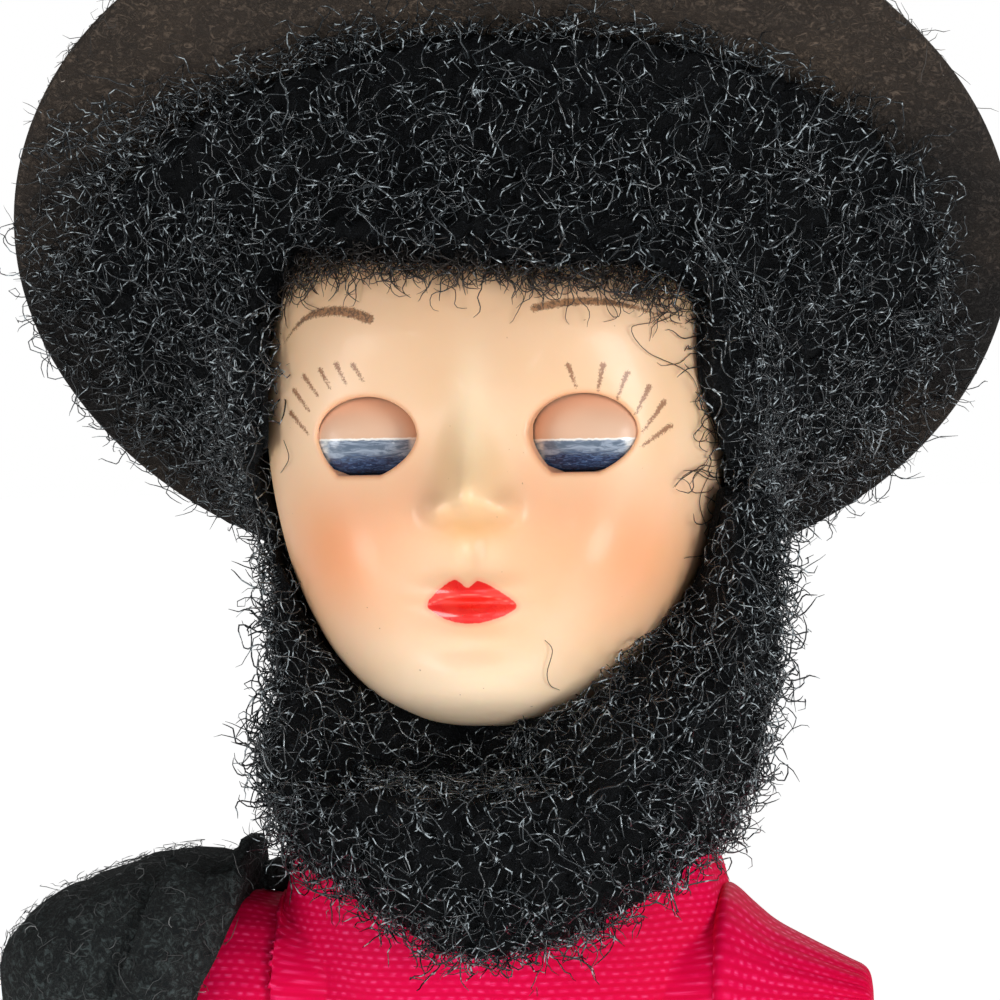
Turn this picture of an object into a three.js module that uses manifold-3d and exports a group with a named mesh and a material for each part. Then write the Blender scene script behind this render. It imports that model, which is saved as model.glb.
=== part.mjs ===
// A costume doll of moulded hard plastic, about 8 inches tall, dressed as a bearded Amish man.
// Millimetres, +Z up. The doll faces -Y, stands on z = 0, and its right side is at -X.
// Inside: rocking sleep eyes with a weight, an elastic band that strings both arms, and a neck hook.
import * as THREE from "three";
import { mergeVertices } from "three/addons/utils/BufferGeometryUtils.js";
import Module from "manifold-3d";

const wasm = await Module();
wasm.setup();

// Clearances
const runningGap = 0.3;
const clothGap = 0.35;

// Cutting blocks reach this far, well past the doll on every side
const farAway = 400;

// The middle of the doll's depth, measured from its neck
const standCentreY = 7.7;

// Head
const eyeLine = 174;
const headHalfWidth = 17;
const headFrontDepth = 15.6;
const headBackDepth = 18.2;
const headAboveEyes = 21;
const headBelowEyes = 21;
const headWall = 1.4;
const headSeamY = 1;
const sectionPower = 2.5;

// Face features
const noseRise = 3.3;
const noseDrop = 4.3;
const mouthDrop = 11.8;
const mouthHalfWidth = 3.1;
const chinDrop = 17.4;

// Sleep eyes
const eyeOffset = 7.7;
const eyeBallRadius = 4.6;
const eyeBallWall = 0.9;
const eyeCentreY = -8.7;
const eyeHoleHalfWidth = 3.55;
const eyeHoleUp = 2.85;
const eyeHoleDown = 2.7;
const eyeAxleRadius = 0.6;
const eyeLugLength = 1.6;
const eyeLugRadius = 1.9;
const axleFit = 0.15;
const rockerLength = 8.6;
const rockerLean = 40;
const rockerWidth = 2.4;
const rockerThickness = 0.9;
const weightRadius = 2.6;
const weightLength = 6.5;

// Neck and stringing
const neckRadius = 6.5;
const neckBallZ = 150.5;
const neckWall = 1.4;
const neckHoleRadius = 2.4;
const hookWireRadius = 0.6;
const hookBarRadius = 0.8;
const bandRadius = 0.65;
const bandHalfSpread = 1.65;

// Body
const bodyHalfWidth = 16;
const bodyHalfDepth = 9.6;
const neckSeatDrop = 3.5;
const bodyTop = neckBallZ - neckSeatDrop;
const crotchZ = 84;
const bodyWall = 1.5;
const shoulderZ = 131;
const seatRadius = 7.2;
const seatX = 15.6;
const socketRadius = 3.4;
const legOffset = 8.4;
const thighRadius = 6.6;
const kneeRadius = 5.4;
const kneeZ = 47;
const ankleRadius = 4.1;
const ankleZ = 13;
const shoeHalfLength = 12.5;
const shoeHalfWidth = 5.6;
const shoeHeelBack = 8.5;

// Arms
const armBallRadius = 7.4;
const armLength = 54;
const wristShare = 0.76;
const upperArmRadius = 5;
const elbowRadius = 4.2;
const wristRadius = 3;
const armStandOff = 4.4;
const armSplay = 1.2;
const armForward = 5.5;
const palmHalfThickness = 1.7;
const palmHalfWidth = 3.9;
const fingerRadius = 1;
const fingerPitch = 1.85;
const fingerReaches = [0.38, 0.48, 0.5, 0.42];
const thumbRadius = 1.1;
const hookHalfSpan = 1.8;
const hookDepth = 2.2;
const hookSetBack = 2.3;

// Clothes
const shirtThickness = 0.7;
const feltThickness = 1.1;
const shirtHem = 96;
const armholeRadius = 8.6;
const sleeveEndX = 26.4;
const sleeveHeadRadius = 11;
const waistZ = 110;
const trouserHem = 10;
const waistbandHeight = 6;
const trouserEase = 0.5;
const trouserHemRadius = 6.3;
const trouserKneeRadius = 6.2;
const coatHalfWidth = 18.5;
const coatHem = 80;
const coatTopRight = 142;
const coatTopLeft = 118;
const coatFlare = 2.4;
const coatFrontHalfWidth = 17.6;
const coatFrontBendZ = 122;
const coatHemHalfOpening = 10;
const coatSleeveHalfWidth = 9.6;
const coatSleeveHalfDepth = 13.2;
const coatCuffHalfWidth = 6.8;
const coatCuffHalfDepth = 7.2;
const coatSleeveRise = 13.6;
const coatShoulderDrop = 10.7;
const coatSleeveEndZ = 91;
const coatFoldWidth = 5;
const coatFoldSlant = 2;
const coatFoldEndZ = 112;
const slippedHalfWidth = 7.4;
const slippedHalfDepth = 8.6;
const slippedCuffHalfWidth = 6.6;
const slippedCuffHalfDepth = 7;

// Hair and beard
const hairlineRise = 11.6;
const hairFlareRadius = 33;
const hairFlareFront = 23;
const hairFlareDepth = 22;
const wigThickness = 3;
const napeDrop = 18;
const whiskerTop = 170;
const beardTipZ = 137.6;
const beardHalfWidth = 19.2;
const beardDepth = 21.4;
const beardShift = 2;
const headTurn = 10;

// Hat
const hatTilt = 42.5;
const hatLean = 3;
const hatCentreY = 9.2;
const hatCentreZ = 187.4;
const brimRadius = 38.2;
const crownRadius = 16.4;
const crownHeight = 14;
const brimDroop = 1.6;
const bandWidth = 4.5;
const bandThickness = 0.5;

// The join between a three.js geometry and a solid that can be cut.
function toSolid(geometry) {
  const bare = geometry.index ? geometry.toNonIndexed() : geometry.clone();
  const onlyPlace = new THREE.BufferGeometry();
  onlyPlace.setAttribute("position", bare.getAttribute("position"));
  const merged = mergeVertices(onlyPlace, 1e-4);
  const solid = new wasm.Manifold(
    new wasm.Mesh({
      numProp: 3,
      vertProperties: merged.attributes.position.array,
      triVerts: new Uint32Array(merged.index.array),
    }),
  );
  return solid;
}

function toMesh(name, solid, material) {
  const raw = solid.getMesh();
  const points = new Float32Array(raw.numVert * 3);
  for (let i = 0; i < raw.numVert; i++) {
    points.set(raw.vertProperties.subarray(i * raw.numProp, i * raw.numProp + 3), i * 3);
  }
  const geometry = new THREE.BufferGeometry();
  geometry.setAttribute("position", new THREE.BufferAttribute(points, 3));
  geometry.setIndex(new THREE.BufferAttribute(raw.triVerts, 1));
  geometry.computeVertexNormals();
  const mesh = new THREE.Mesh(geometry, material);
  mesh.name = name;
  return mesh;
}

// A smooth curve through hand-set levels: returns the value of each column at a height share.
function profile(levels) {
  const columns = levels[0].length - 1;
  const curves = [];
  for (let c = 1; c <= columns; c++) {
    curves.push(new THREE.SplineCurve(levels.map((row) => new THREE.Vector2(row[0], row[c]))));
  }
  return (at) => curves.map((curve) => valueAt(curve, at));
}

function valueAt(curve, at) {
  let low = 0;
  let high = 1;
  const rising = curve.getPoint(1).x > curve.getPoint(0).x;
  for (let i = 0; i < 30; i++) {
    const middle = (low + high) / 2;
    const before = rising === curve.getPoint(middle).x < at;
    if (before) low = middle;
    else high = middle;
  }
  return curve.getPoint((low + high) / 2).y;
}

// Closed rings stacked into one closed mesh, with a fan of triangles over each end.
function loft(rings) {
  const count = rings[0].length;
  const points = rings.flat();
  const ends = [rings[0], rings[rings.length - 1]];
  const centres = ends.map((ring) =>
    ring.reduce((sum, p) => sum.add(p), new THREE.Vector3()).divideScalar(count),
  );
  points.push(...centres);
  const faces = [];
  for (let r = 0; r + 1 < rings.length; r++) {
    for (let i = 0; i < count; i++) {
      const a = r * count + i;
      const b = r * count + ((i + 1) % count);
      faces.push(a, b, b + count, a, b + count, a + count);
    }
  }
  const lastStart = (rings.length - 1) * count;
  for (let i = 0; i < count; i++) {
    const next = (i + 1) % count;
    faces.push(next, i, rings.length * count);
    faces.push(lastStart + i, lastStart + next, rings.length * count + 1);
  }
  const geometry = new THREE.BufferGeometry().setFromPoints(points);
  geometry.setIndex(faces);
  const solid = toSolid(geometry);
  if (solid.volume() >= 0) return solid;
  for (let i = 0; i < faces.length; i += 3) {
    [faces[i + 1], faces[i + 2]] = [faces[i + 2], faces[i + 1]];
  }
  geometry.setIndex(faces);
  return toSolid(geometry);
}

// One level ring of a rounded-square section, starting at the front. Crowd gathers points there.
function ring({ x = 0, y = 0, z, width, front, back = front, power = 2, sides = 24, crowd = 0 }) {
  const points = [];
  for (let i = 0; i < sides; i++) {
    const turn = (i / sides) * 2 * Math.PI;
    const angle = turn - crowd * Math.sin(turn);
    const across = Math.sin(angle);
    const along = Math.cos(angle);
    const depth = along > 0 ? front : back;
    points.push(
      new THREE.Vector3(
        x + width * Math.sign(across) * Math.abs(across) ** (2 / power),
        y - depth * Math.sign(along) * Math.abs(along) ** (2 / power),
        z,
      ),
    );
  }
  return points;
}

function box(x0, x1, y0, y1, z0, z1) {
  const geometry = new THREE.BoxGeometry(x1 - x0, y1 - y0, z1 - z0);
  geometry.translate((x0 + x1) / 2, (y0 + y1) / 2, (z0 + z1) / 2);
  return toSolid(geometry);
}

function ball(radius, x, y, z, detail = 16) {
  const geometry = new THREE.SphereGeometry(radius, detail, detail / 2);
  geometry.rotateZ(Math.PI / 2);
  geometry.translate(x, y, z);
  return toSolid(geometry);
}

// A round bar along X.
function barX(radius, x0, x1, y, z, sides = 16) {
  const geometry = new THREE.CylinderGeometry(radius, radius, x1 - x0, sides);
  geometry.rotateZ(Math.PI / 2);
  geometry.translate((x0 + x1) / 2, y, z);
  return toSolid(geometry);
}

// A bar along Z.
function barZ(radius, x, y, z0, z1, sides = 20) {
  const geometry = new THREE.CylinderGeometry(radius, radius, z1 - z0, sides);
  geometry.rotateX(Math.PI / 2);
  geometry.translate(x, y, (z0 + z1) / 2);
  return toSolid(geometry);
}

// A wire that follows a curve.
function wire(curve, radius, steps, sides = 4) {
  const section = new THREE.Shape();
  section.absarc(0, 0, radius, 0, 2 * Math.PI);
  return toSolid(
    new THREE.ExtrudeGeometry(section, {
      extrudePath: curve,
      steps,
      curveSegments: sides,
      bevelEnabled: false,
    }),
  );
}

// An outline in X and Z, extruded along Y.
function slabXZ(shape, y0, y1, segments = 12) {
  const geometry = new THREE.ExtrudeGeometry(shape, {
    depth: y1 - y0,
    curveSegments: segments,
    bevelEnabled: false,
  });
  geometry.rotateX(Math.PI / 2);
  geometry.translate(0, y1, 0);
  return toSolid(geometry);
}

function polygon(corners) {
  return new THREE.Shape(corners.map(([x, z]) => new THREE.Vector2(x, z)));
}

// The head as level rings: share of the height above or below the eyes, then shares of the
// half width, the depth in front and the depth behind.
const headForm = profile([
  [-1.0, 0.2, 0.48, 0.28],
  [-0.975, 0.34, 0.64, 0.33],
  [-0.9, 0.52, 0.82, 0.42],
  [-0.8, 0.66, 0.92, 0.54],
  [-0.66, 0.78, 0.98, 0.7],
  [-0.46, 0.89, 1.01, 0.86],
  [-0.22, 0.965, 1.01, 0.965],
  [0, 1.0, 1.0, 1.0],
  [0.2, 1.0, 1.0, 1.0],
  [0.44, 0.95, 0.97, 0.94],
  [0.66, 0.83, 0.86, 0.81],
  [0.85, 0.61, 0.65, 0.6],
  [0.96, 0.34, 0.37, 0.34],
  [1.0, 0.05, 0.05, 0.05],
]);

function headSection(z, grow) {
  const drop = z - eyeLine;
  const reach = drop > 0 ? headAboveEyes + grow : headBelowEyes + grow;
  const [width, front, back] = headForm(THREE.MathUtils.clamp(drop / reach, -1, 1));
  return {
    width: Math.max(width * (headHalfWidth + grow), 0.4),
    front: Math.max(front * (headFrontDepth + grow), 0.4),
    back: Math.max(back * (headBackDepth + grow), 0.4),
  };
}

// How far the moulded face stands out of the plain head at x and at a height above the eyes.
function faceRelief(x, rise) {
  const bump = (cx, cz, sx, sz, height) =>
    height * Math.exp(-(((x - cx) / sx) ** 2) - ((rise - cz) / sz) ** 2);
  const side = Math.abs(x);
  const sideBump = (cx, cz, sx, sz, height) =>
    height * Math.exp(-(((side - cx) / sx) ** 2) - ((rise - cz) / sz) ** 2);
  const tipSpread = rise < -noseDrop ? 1.5 : 2.2;
  return (
    bump(0, -noseDrop, 1.9, tipSpread, noseRise * 0.78) +
    bump(0, -noseDrop / 3, 1.7, 3.0, noseRise * 0.38) +
    sideBump(2.3, -noseDrop - 0.9, 1.1, 1.1, 1.2) +
    bump(0, -mouthDrop + 1.0, mouthHalfWidth, 0.95, 0.75) +
    bump(0, -mouthDrop - 0.9, mouthHalfWidth * 0.85, 1.0, 0.85) +
    bump(0, -mouthDrop + 0.1, mouthHalfWidth * 1.3, 0.3, -0.4) +
    bump(0, -mouthDrop, mouthHalfWidth * 1.8, 3.4, 0.5) +
    bump(0, -mouthDrop - 3.0, 3.2, 1.1, -0.5) +
    bump(0, -chinDrop, 3.6, 2.6, 1.0) +
    sideBump(8.6, -8.4, 4.6, 4.2, 0.75) +
    sideBump(eyeOffset - 0.6, 0.4, 4.6, 4.0, -0.75) +
    sideBump(eyeOffset, 7.4, 5.0, 2.6, 0.35)
  );
}

function headBlob(grow, rows, sides, withFace) {
  const rings = rows.map((z) => {
    const section = headSection(z, grow);
    const points = ring({ ...section, z, power: sectionPower, sides, crowd: withFace ? 0.66 : 0 });
    for (const p of points) {
      const facing = THREE.MathUtils.smoothstep(-p.y / section.front, 0.1, 0.6);
      if (withFace) p.y -= faceRelief(p.x, z - eyeLine) * facing;
    }
    return points;
  });
  return loft(rings);
}

function evenRows(low, high, count) {
  return Array.from({ length: count + 1 }, (_, i) => low + ((high - low) * i) / count);
}

// The outline of one eye opening: a round upper lid and a lower lid with a flat bottom.
function eyeOutline(centreX) {
  const half = eyeHoleHalfWidth;
  const low = eyeLine - eyeHoleDown;
  const pull = half * 0.92;
  const bend = eyeLine - eyeHoleDown * 0.45;
  const shape = new THREE.Shape();
  shape.moveTo(centreX - half, eyeLine);
  shape.absellipse(centreX, eyeLine, half, eyeHoleUp, Math.PI, 0, true);
  shape.quadraticCurveTo(centreX + pull, bend, centreX + half * 0.55, low);
  shape.lineTo(centreX - half * 0.55, low);
  shape.quadraticCurveTo(centreX - pull, bend, centreX - half, eyeLine);
  return shape;
}

function eyeOpening(centreX) {
  return slabXZ(eyeOutline(centreX), -farAway, eyeCentreY, 9);
}

function headShell() {
  const faceRows = evenRows(eyeLine - headBelowEyes, eyeLine + hairlineRise, 22);
  const crownRows = evenRows(eyeLine + hairlineRise, eyeLine + headAboveEyes, 4).slice(1);
  let outer = headBlob(0, [...faceRows, ...crownRows], 36, true);
  const neckTop = eyeLine - headBelowEyes + 6;
  outer = outer.add(barZ(neckRadius, 0, 0, neckBallZ, neckTop, 12));
  outer = outer.add(ball(neckRadius, 0, 0, neckBallZ, 12));
  const innerRows = evenRows(eyeLine - headBelowEyes + headWall, eyeLine + headAboveEyes - headWall, 8);
  let inner = headBlob(-headWall, innerRows, 14, false);
  inner = inner.add(barZ(neckRadius - neckWall, 0, 0, neckBallZ, neckTop + 4, 10));
  inner = inner.add(ball(neckRadius - neckWall, 0, 0, neckBallZ, 10));
  inner = inner.add(barZ(neckHoleRadius, 0, 0, neckBallZ - neckRadius - 1, neckBallZ));
  let shell = outer.subtract(inner);
  for (const side of [-1, 1]) {
    shell = shell.subtract(ball(eyeBallRadius + runningGap, side * eyeOffset, eyeCentreY, eyeLine));
    shell = shell.subtract(eyeOpening(side * eyeOffset));
  }
  return { shell, outer };
}

// A bearing lug moulded inside the face for one end of the eye axle, and its blind hole.
function eyeLug(side, outer) {
  const start = eyeOffset + eyeBallRadius + runningGap;
  const end = start + eyeLugLength;
  const spans = (near, far) => (side > 0 ? [near, far] : [-far, -near]);
  return {
    boss: barX(eyeLugRadius, ...spans(start, end + 3), eyeCentreY, eyeLine).intersect(outer),
    hole: barX(eyeAxleRadius + axleFit, ...spans(start - 1, end), eyeCentreY, eyeLine),
  };
}

function headParts(plastic) {
  const { shell, outer } = headShell();
  const frontHalf = box(-farAway, farAway, -farAway, headSeamY, 0, farAway);
  const backHalf = box(-farAway, farAway, headSeamY, farAway, 0, farAway);
  let face = shell.intersect(frontHalf);
  for (const side of [-1, 1]) {
    const { boss, hole } = eyeLug(side, outer);
    face = face.add(boss).subtract(hole);
  }
  return [
    toMesh("face_shell", face, plastic),
    toMesh("head_back_shell", shell.intersect(backHalf), plastic),
  ];
}

// One hollow eyeball: the upper part carries the lid colour, the lower part the iris.
function eyeBall(name, side, material) {
  const x = side * eyeOffset;
  let eye = ball(eyeBallRadius, x, eyeCentreY, eyeLine, 12);
  eye = eye.subtract(ball(eyeBallRadius - eyeBallWall, x, eyeCentreY, eyeLine, 8));
  const cut = eyeCentreY + eyeBallRadius * 0.42;
  eye = eye.subtract(box(-farAway, farAway, cut, farAway, 0, farAway));
  const reach = eyeBallRadius + 1;
  return toMesh(
    name,
    eye.subtract(barX(eyeAxleRadius + axleFit, x - reach, x + reach, eyeCentreY, eyeLine)),
    material,
  );
}

// The wire axle with its strap, and the lead weight pinched on the strap's end.
function eyeRocker(metal, lead) {
  const axleEnd = eyeOffset + eyeBallRadius + runningGap + eyeLugLength - 0.3;
  const axle = barX(eyeAxleRadius, -axleEnd, axleEnd, eyeCentreY, eyeLine);
  const hangStrap = (width, thickness, length) => {
    const geometry = new THREE.BoxGeometry(width, thickness, length);
    geometry.translate(0, 0, -length / 2);
    geometry.rotateX(THREE.MathUtils.degToRad(rockerLean));
    geometry.translate(0, eyeCentreY, eyeLine);
    return toSolid(geometry);
  };
  const strap = hangStrap(rockerWidth, rockerThickness, rockerLength);
  const lean = THREE.MathUtils.degToRad(rockerLean);
  const weightY = eyeCentreY + rockerLength * Math.sin(lean);
  const weightZ = eyeLine - rockerLength * Math.cos(lean);
  const slot = hangStrap(rockerWidth + 0.4, rockerThickness + 0.4, rockerLength + 0.3);
  const weight = barX(weightRadius, -weightLength / 2, weightLength / 2, weightY, weightZ, 14);
  return [
    toMesh("eye_rocker", axle.add(strap), metal),
    toMesh("eye_weight", weight.subtract(slot), lead),
  ];
}

// The wire hook in the neck: a crossbar that seats in the neck, a shank and a crook under the band.
function neckHook(metal) {
  const barZ0 = neckBallZ - 2.6;
  const crossbar = barX(hookBarRadius, -3.1, 3.1, 0, barZ0, 10);
  const crookRadius = bandRadius + hookWireRadius + 0.3;
  const lowStrand = shoulderZ - bandHalfSpread;
  const shank = new THREE.CatmullRomCurve3(
    [
      new THREE.Vector3(0, 0, barZ0),
      new THREE.Vector3(0, 0, barZ0 - 5),
      new THREE.Vector3(0, crookRadius, lowStrand + 5),
      new THREE.Vector3(0, crookRadius, lowStrand + 0.6),
      new THREE.Vector3(0, crookRadius * 0.71, lowStrand - crookRadius * 0.71),
      new THREE.Vector3(0, 0, lowStrand - crookRadius),
      new THREE.Vector3(0, -crookRadius * 0.71, lowStrand - crookRadius * 0.71),
      new THREE.Vector3(0, -crookRadius, lowStrand + 0.6),
      new THREE.Vector3(0, -crookRadius - 0.2, lowStrand + 2.4),
    ],
    false,
    "centripetal",
  );
  return toMesh("neck_hook", crossbar.add(wire(shank, hookWireRadius, 14)), metal);
}

// The elastic band: a long loop round both arm hooks.
const armHookX = seatX - hookSetBack;

function stringingBand(rubber) {
  const levels = [];
  const turns = 8;
  for (const side of [1, -1]) {
    for (let i = 0; i <= turns; i++) {
      const angle = (side * Math.PI) / 2 - (i * Math.PI) / turns;
      const x = side * armHookX + bandHalfSpread * Math.cos(angle);
      levels.push(new THREE.Vector3(x, 0, shoulderZ + bandHalfSpread * Math.sin(angle)));
    }
  }
  const loop = new THREE.CatmullRomCurve3(levels, true, "centripetal");
  const sides = 6;
  const steps = 22;
  const rings = [];
  for (let i = 0; i < steps; i++) {
    const centre = loop.getPointAt(i / steps);
    const along = loop.getTangentAt(i / steps);
    const out = new THREE.Vector3(-along.z, 0, along.x);
    rings.push(
      Array.from({ length: sides }, (_, k) => {
        const a = (k / sides) * 2 * Math.PI;
        return centre
          .clone()
          .addScaledVector(out, bandRadius * Math.cos(a))
          .add(new THREE.Vector3(0, bandRadius * Math.sin(a), 0));
      }),
    );
  }
  return toMesh("stringing_band", closedTube(rings), rubber);
}

function closedTube(rings) {
  const count = rings[0].length;
  const faces = [];
  rings.forEach((_, r) => {
    const next = (r + 1) % rings.length;
    for (let i = 0; i < count; i++) {
      const j = (i + 1) % count;
      faces.push(r * count + i, r * count + j, next * count + j);
      faces.push(r * count + i, next * count + j, next * count + i);
    }
  });
  const geometry = new THREE.BufferGeometry().setFromPoints(rings.flat());
  geometry.setIndex(faces);
  let solid = toSolid(geometry);
  if (solid.volume() < 0) {
    geometry.setIndex(faces.reverse());
    solid = toSolid(geometry);
  }
  return solid;
}

// The trunk as level rings: height, then shares of the half width and of the half depth.
const trunkTop = bodyTop - crotchZ;
const trunkForm = profile([
  [0, 0.85, 0.94],
  [0.08, 0.9, 1.05],
  [0.18, 0.9, 1.04],
  [0.3, 0.86, 0.94],
  [0.42, 0.82, 0.88],
  [0.56, 0.9, 0.97],
  [0.68, 0.985, 1.02],
  [0.78, 1.0, 1.0],
  [0.85, 0.985, 0.95],
  [0.9, 0.93, 0.9],
  [0.94, 0.85, 0.85],
  [0.975, 0.73, 0.8],
  [1.0, 0.58, 0.74],
]);

function trunkRing(z, grow, sides, power = 2.3) {
  const share = THREE.MathUtils.clamp((z - crotchZ) / trunkTop, 0, 1);
  const [width, depth] = trunkForm(share);
  return ring({
    z,
    width: width * bodyHalfWidth + grow,
    front: depth * bodyHalfDepth + grow,
    power,
    sides,
  });
}

// The trunk grown outwards by one amount. Above the shoulders it also rises by that amount.
function trunkRings(grow, low, high, rows, sides) {
  return evenRows(low, high, rows).map((z) => {
    const lift = Math.max(grow, 0) * THREE.MathUtils.smoothstep(z, shoulderZ, bodyTop);
    const points = trunkRing(z, grow, sides);
    points.forEach((p) => (p.z += lift));
    return points;
  });
}

function trunk(grow, low, high, rows, sides = 22) {
  return loft(trunkRings(grow, low, high, rows, sides));
}

// One leg as level rings, from the shoe to inside the trunk.
function leg(side, grow, low, high, rows, sides = 12) {
  const form = profile([
    [ankleZ, ankleRadius, 1.5],
    [(ankleZ + kneeZ) / 2, (ankleRadius + kneeRadius) / 2 + 0.8, 1.2],
    [kneeZ, kneeRadius, 0],
    [(kneeZ + crotchZ) / 2, (kneeRadius + thighRadius) / 2, -0.2],
    [crotchZ - 4, thighRadius, 0],
    [crotchZ + 6, thighRadius, 0],
  ]);
  return loft(
    evenRows(low, high, rows).map((z) => {
      const [radius, y] = form(THREE.MathUtils.clamp(z, ankleZ, crotchZ + 6));
      return ring({
        x: side * legOffset,
        y,
        z,
        width: radius + grow,
        front: radius + grow + 0.6,
        sides,
      });
    }),
  );
}

// A low moulded shoe with a flat sole and a round toe.
function shoe(side) {
  const heelY = shoeHeelBack;
  const level = (z, share, length, centre) =>
    ring({
      x: side * legOffset,
      y: heelY - shoeHalfLength + centre,
      z,
      width: shoeHalfWidth * share,
      front: shoeHalfLength * length,
      power: 2.4,
      sides: 14,
    });
  return loft([
    level(0, 0.97, 0.99, 0),
    level(1.8, 1.0, 1.0, 0),
    level(2.1, 0.93, 0.96, 0.1),
    level(5, 0.95, 0.93, 0.6),
    level(7.5, 0.9, 0.78, 2.4),
    level(9.5, 0.84, 0.58, 5),
    level(ankleZ, 0.76, 0.4, 8),
  ]);
}

function bodyParts(plastic) {
  let outer = trunk(0, crotchZ - 1, bodyTop, 9, 16);
  for (const side of [-1, 1]) {
    outer = outer.add(leg(side, 0, ankleZ - 3, crotchZ + 5, 5));
    outer = outer.add(shoe(side));
    const seat = side > 0 ? [seatX, seatX + 8] : [-seatX - 8, -seatX];
    outer = outer.subtract(barX(seatRadius, ...seat, 0, shoulderZ, 20));
  }
  outer = outer.subtract(ball(neckRadius + runningGap, 0, 0, neckBallZ, 14));
  const cavityTop = neckBallZ - neckRadius - runningGap - bodyWall;
  let cavity = trunk(-bodyWall, crotchZ + 8, cavityTop, 7, 14);
  cavity = cavity.add(barX(socketRadius, -seatX - 2, seatX + 2, 0, shoulderZ, 20));
  cavity = cavity.add(barZ(neckHoleRadius + 0.6, 0, 0, cavityTop - 2, neckBallZ));
  const shell = outer.subtract(cavity);
  const frontHalf = box(-farAway, farAway, -farAway, 0, -farAway, farAway);
  const backHalf = box(-farAway, farAway, 0, farAway, -farAway, farAway);
  return [
    toMesh("body_front_shell", shell.intersect(frontHalf), plastic),
    toMesh("body_back_shell", shell.intersect(backHalf), plastic),
  ];
}

const armBallX = seatX + runningGap + armBallRadius * 0.72;
const wristZ = shoulderZ - armLength * wristShare;
const armShares = [0, 0.1, 0.2, 0.4, 0.6, 0.8, 1];

// The arm's middle line, radius and height at a share of the way from the shoulder to the wrist.
function armAt(share) {
  const away = armStandOff * THREE.MathUtils.smoothstep(share, 0, 0.2);
  const radius =
    share < 0.5
      ? THREE.MathUtils.lerp(upperArmRadius, elbowRadius, share / 0.5)
      : THREE.MathUtils.lerp(elbowRadius, wristRadius, (share - 0.5) / 0.5);
  return {
    x: seatX + runningGap + upperArmRadius + away + armSplay * share,
    y: -armForward * share ** 2,
    z: THREE.MathUtils.lerp(shoulderZ, wristZ, share),
    radius,
  };
}

// A limb's piece from rows of x, y, z, half width and half depth.
function limb(side, rows, sides) {
  return loft(rows.map(([x, y, z, width, front]) => ring({ x: side * x, y, z, width, front, sides })));
}

// The arm's own surface grown outwards, down to a share of its length.
function armTube(side, grow, count) {
  const rows = armShares.slice(0, count).map((share) => {
    const { x, y, z, radius } = armAt(share);
    return [x, y, z, radius + grow, radius + grow];
  });
  return limb(side, rows, 12);
}

// One arm: shoulder ball with a flat seat, upper arm, forearm, and a hand with four fingers.
function armSolid(side) {
  const { x, y } = armAt(1);
  const handLength = armLength * (1 - wristShare);
  const palmEnd = wristZ - handLength / 2;
  const palm = [
    [x, y, wristZ + 1, wristRadius, wristRadius],
    [x, y - 0.4, wristZ - handLength * 0.18, palmHalfThickness * 1.24, palmHalfWidth * 0.9],
    [x, y - 0.8, palmEnd, palmHalfThickness, palmHalfWidth],
    [x, y - 0.9, palmEnd - 0.8, palmHalfThickness * 0.7, palmHalfWidth * 0.85],
  ];
  const thumb = [
    [x, y - 2.6, wristZ - 1.6, thumbRadius * 1.1, thumbRadius * 1.1],
    [x - 0.9, y - 4.8, wristZ - 5.6, thumbRadius * 0.95, thumbRadius * 0.9],
    [x - 1.1, y - 5.2, wristZ - 7.4, thumbRadius * 0.45, thumbRadius * 0.45],
  ];
  let arm = armTube(side, 0, armShares.length).add(limb(side, palm, 12)).add(limb(side, thumb, 6));
  for (const [i, reach] of fingerReaches.entries()) {
    const fingerY = y - 0.8 + (i - 1.5) * fingerPitch;
    const tip = palmEnd - handLength * reach;
    const finger = [
      [x, fingerY, palmEnd + 1.5, fingerRadius * 1.15, fingerRadius * 1.05],
      [x, fingerY, tip + 0.9, fingerRadius, fingerRadius * 0.95],
      [x - 0.2, fingerY, tip, fingerRadius * 0.45, fingerRadius * 0.45],
    ];
    arm = arm.add(limb(side, finger, 6));
  }
  arm = arm.add(ball(armBallRadius, side * armBallX, 0, shoulderZ, 12));
  const seat = side * (seatX + runningGap);
  const trunkSide = side > 0 ? [-farAway, seat] : [seat, farAway];
  return arm.subtract(box(...trunkSide, -farAway, farAway, 0, farAway));
}

function armParts(name, side, plastic, metal) {
  let arm = armSolid(side);
  const face = seatX + runningGap;
  for (const y of [-hookHalfSpan, hookHalfSpan]) {
    const span = side > 0 ? [face - 1, face + hookDepth + 0.2] : [-face - hookDepth - 0.2, 1 - face];
    arm = arm.subtract(barX(hookWireRadius + 0.25, ...span, y, shoulderZ, 8));
  }
  const path = new THREE.CurvePath();
  const corner = hookHalfSpan * 0.6;
  const at = (x, y) => new THREE.Vector3(side * x, y, shoulderZ);
  path.add(new THREE.LineCurve3(at(face + hookDepth, -hookHalfSpan), at(armHookX + corner, -hookHalfSpan)));
  path.add(
    new THREE.QuadraticBezierCurve3(
      at(armHookX + corner, -hookHalfSpan),
      at(armHookX, -hookHalfSpan),
      at(armHookX, -hookHalfSpan + corner),
    ),
  );
  path.add(new THREE.LineCurve3(at(armHookX, -hookHalfSpan + corner), at(armHookX, hookHalfSpan - corner)));
  path.add(
    new THREE.QuadraticBezierCurve3(
      at(armHookX, hookHalfSpan - corner),
      at(armHookX, hookHalfSpan),
      at(armHookX + corner, hookHalfSpan),
    ),
  );
  path.add(new THREE.LineCurve3(at(armHookX + corner, hookHalfSpan), at(face + hookDepth, hookHalfSpan)));
  return [
    toMesh(`arm_${name}`, arm, plastic),
    toMesh(`arm_hook_${name}`, wire(path, hookWireRadius, 10), metal),
  ];
}

// The shirt is cut over the trunk, open at the neck, the armholes and the hem.
const shirtInner = clothGap;
const shirtOuter = clothGap + shirtThickness;
const shirtRows = 8;

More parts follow.
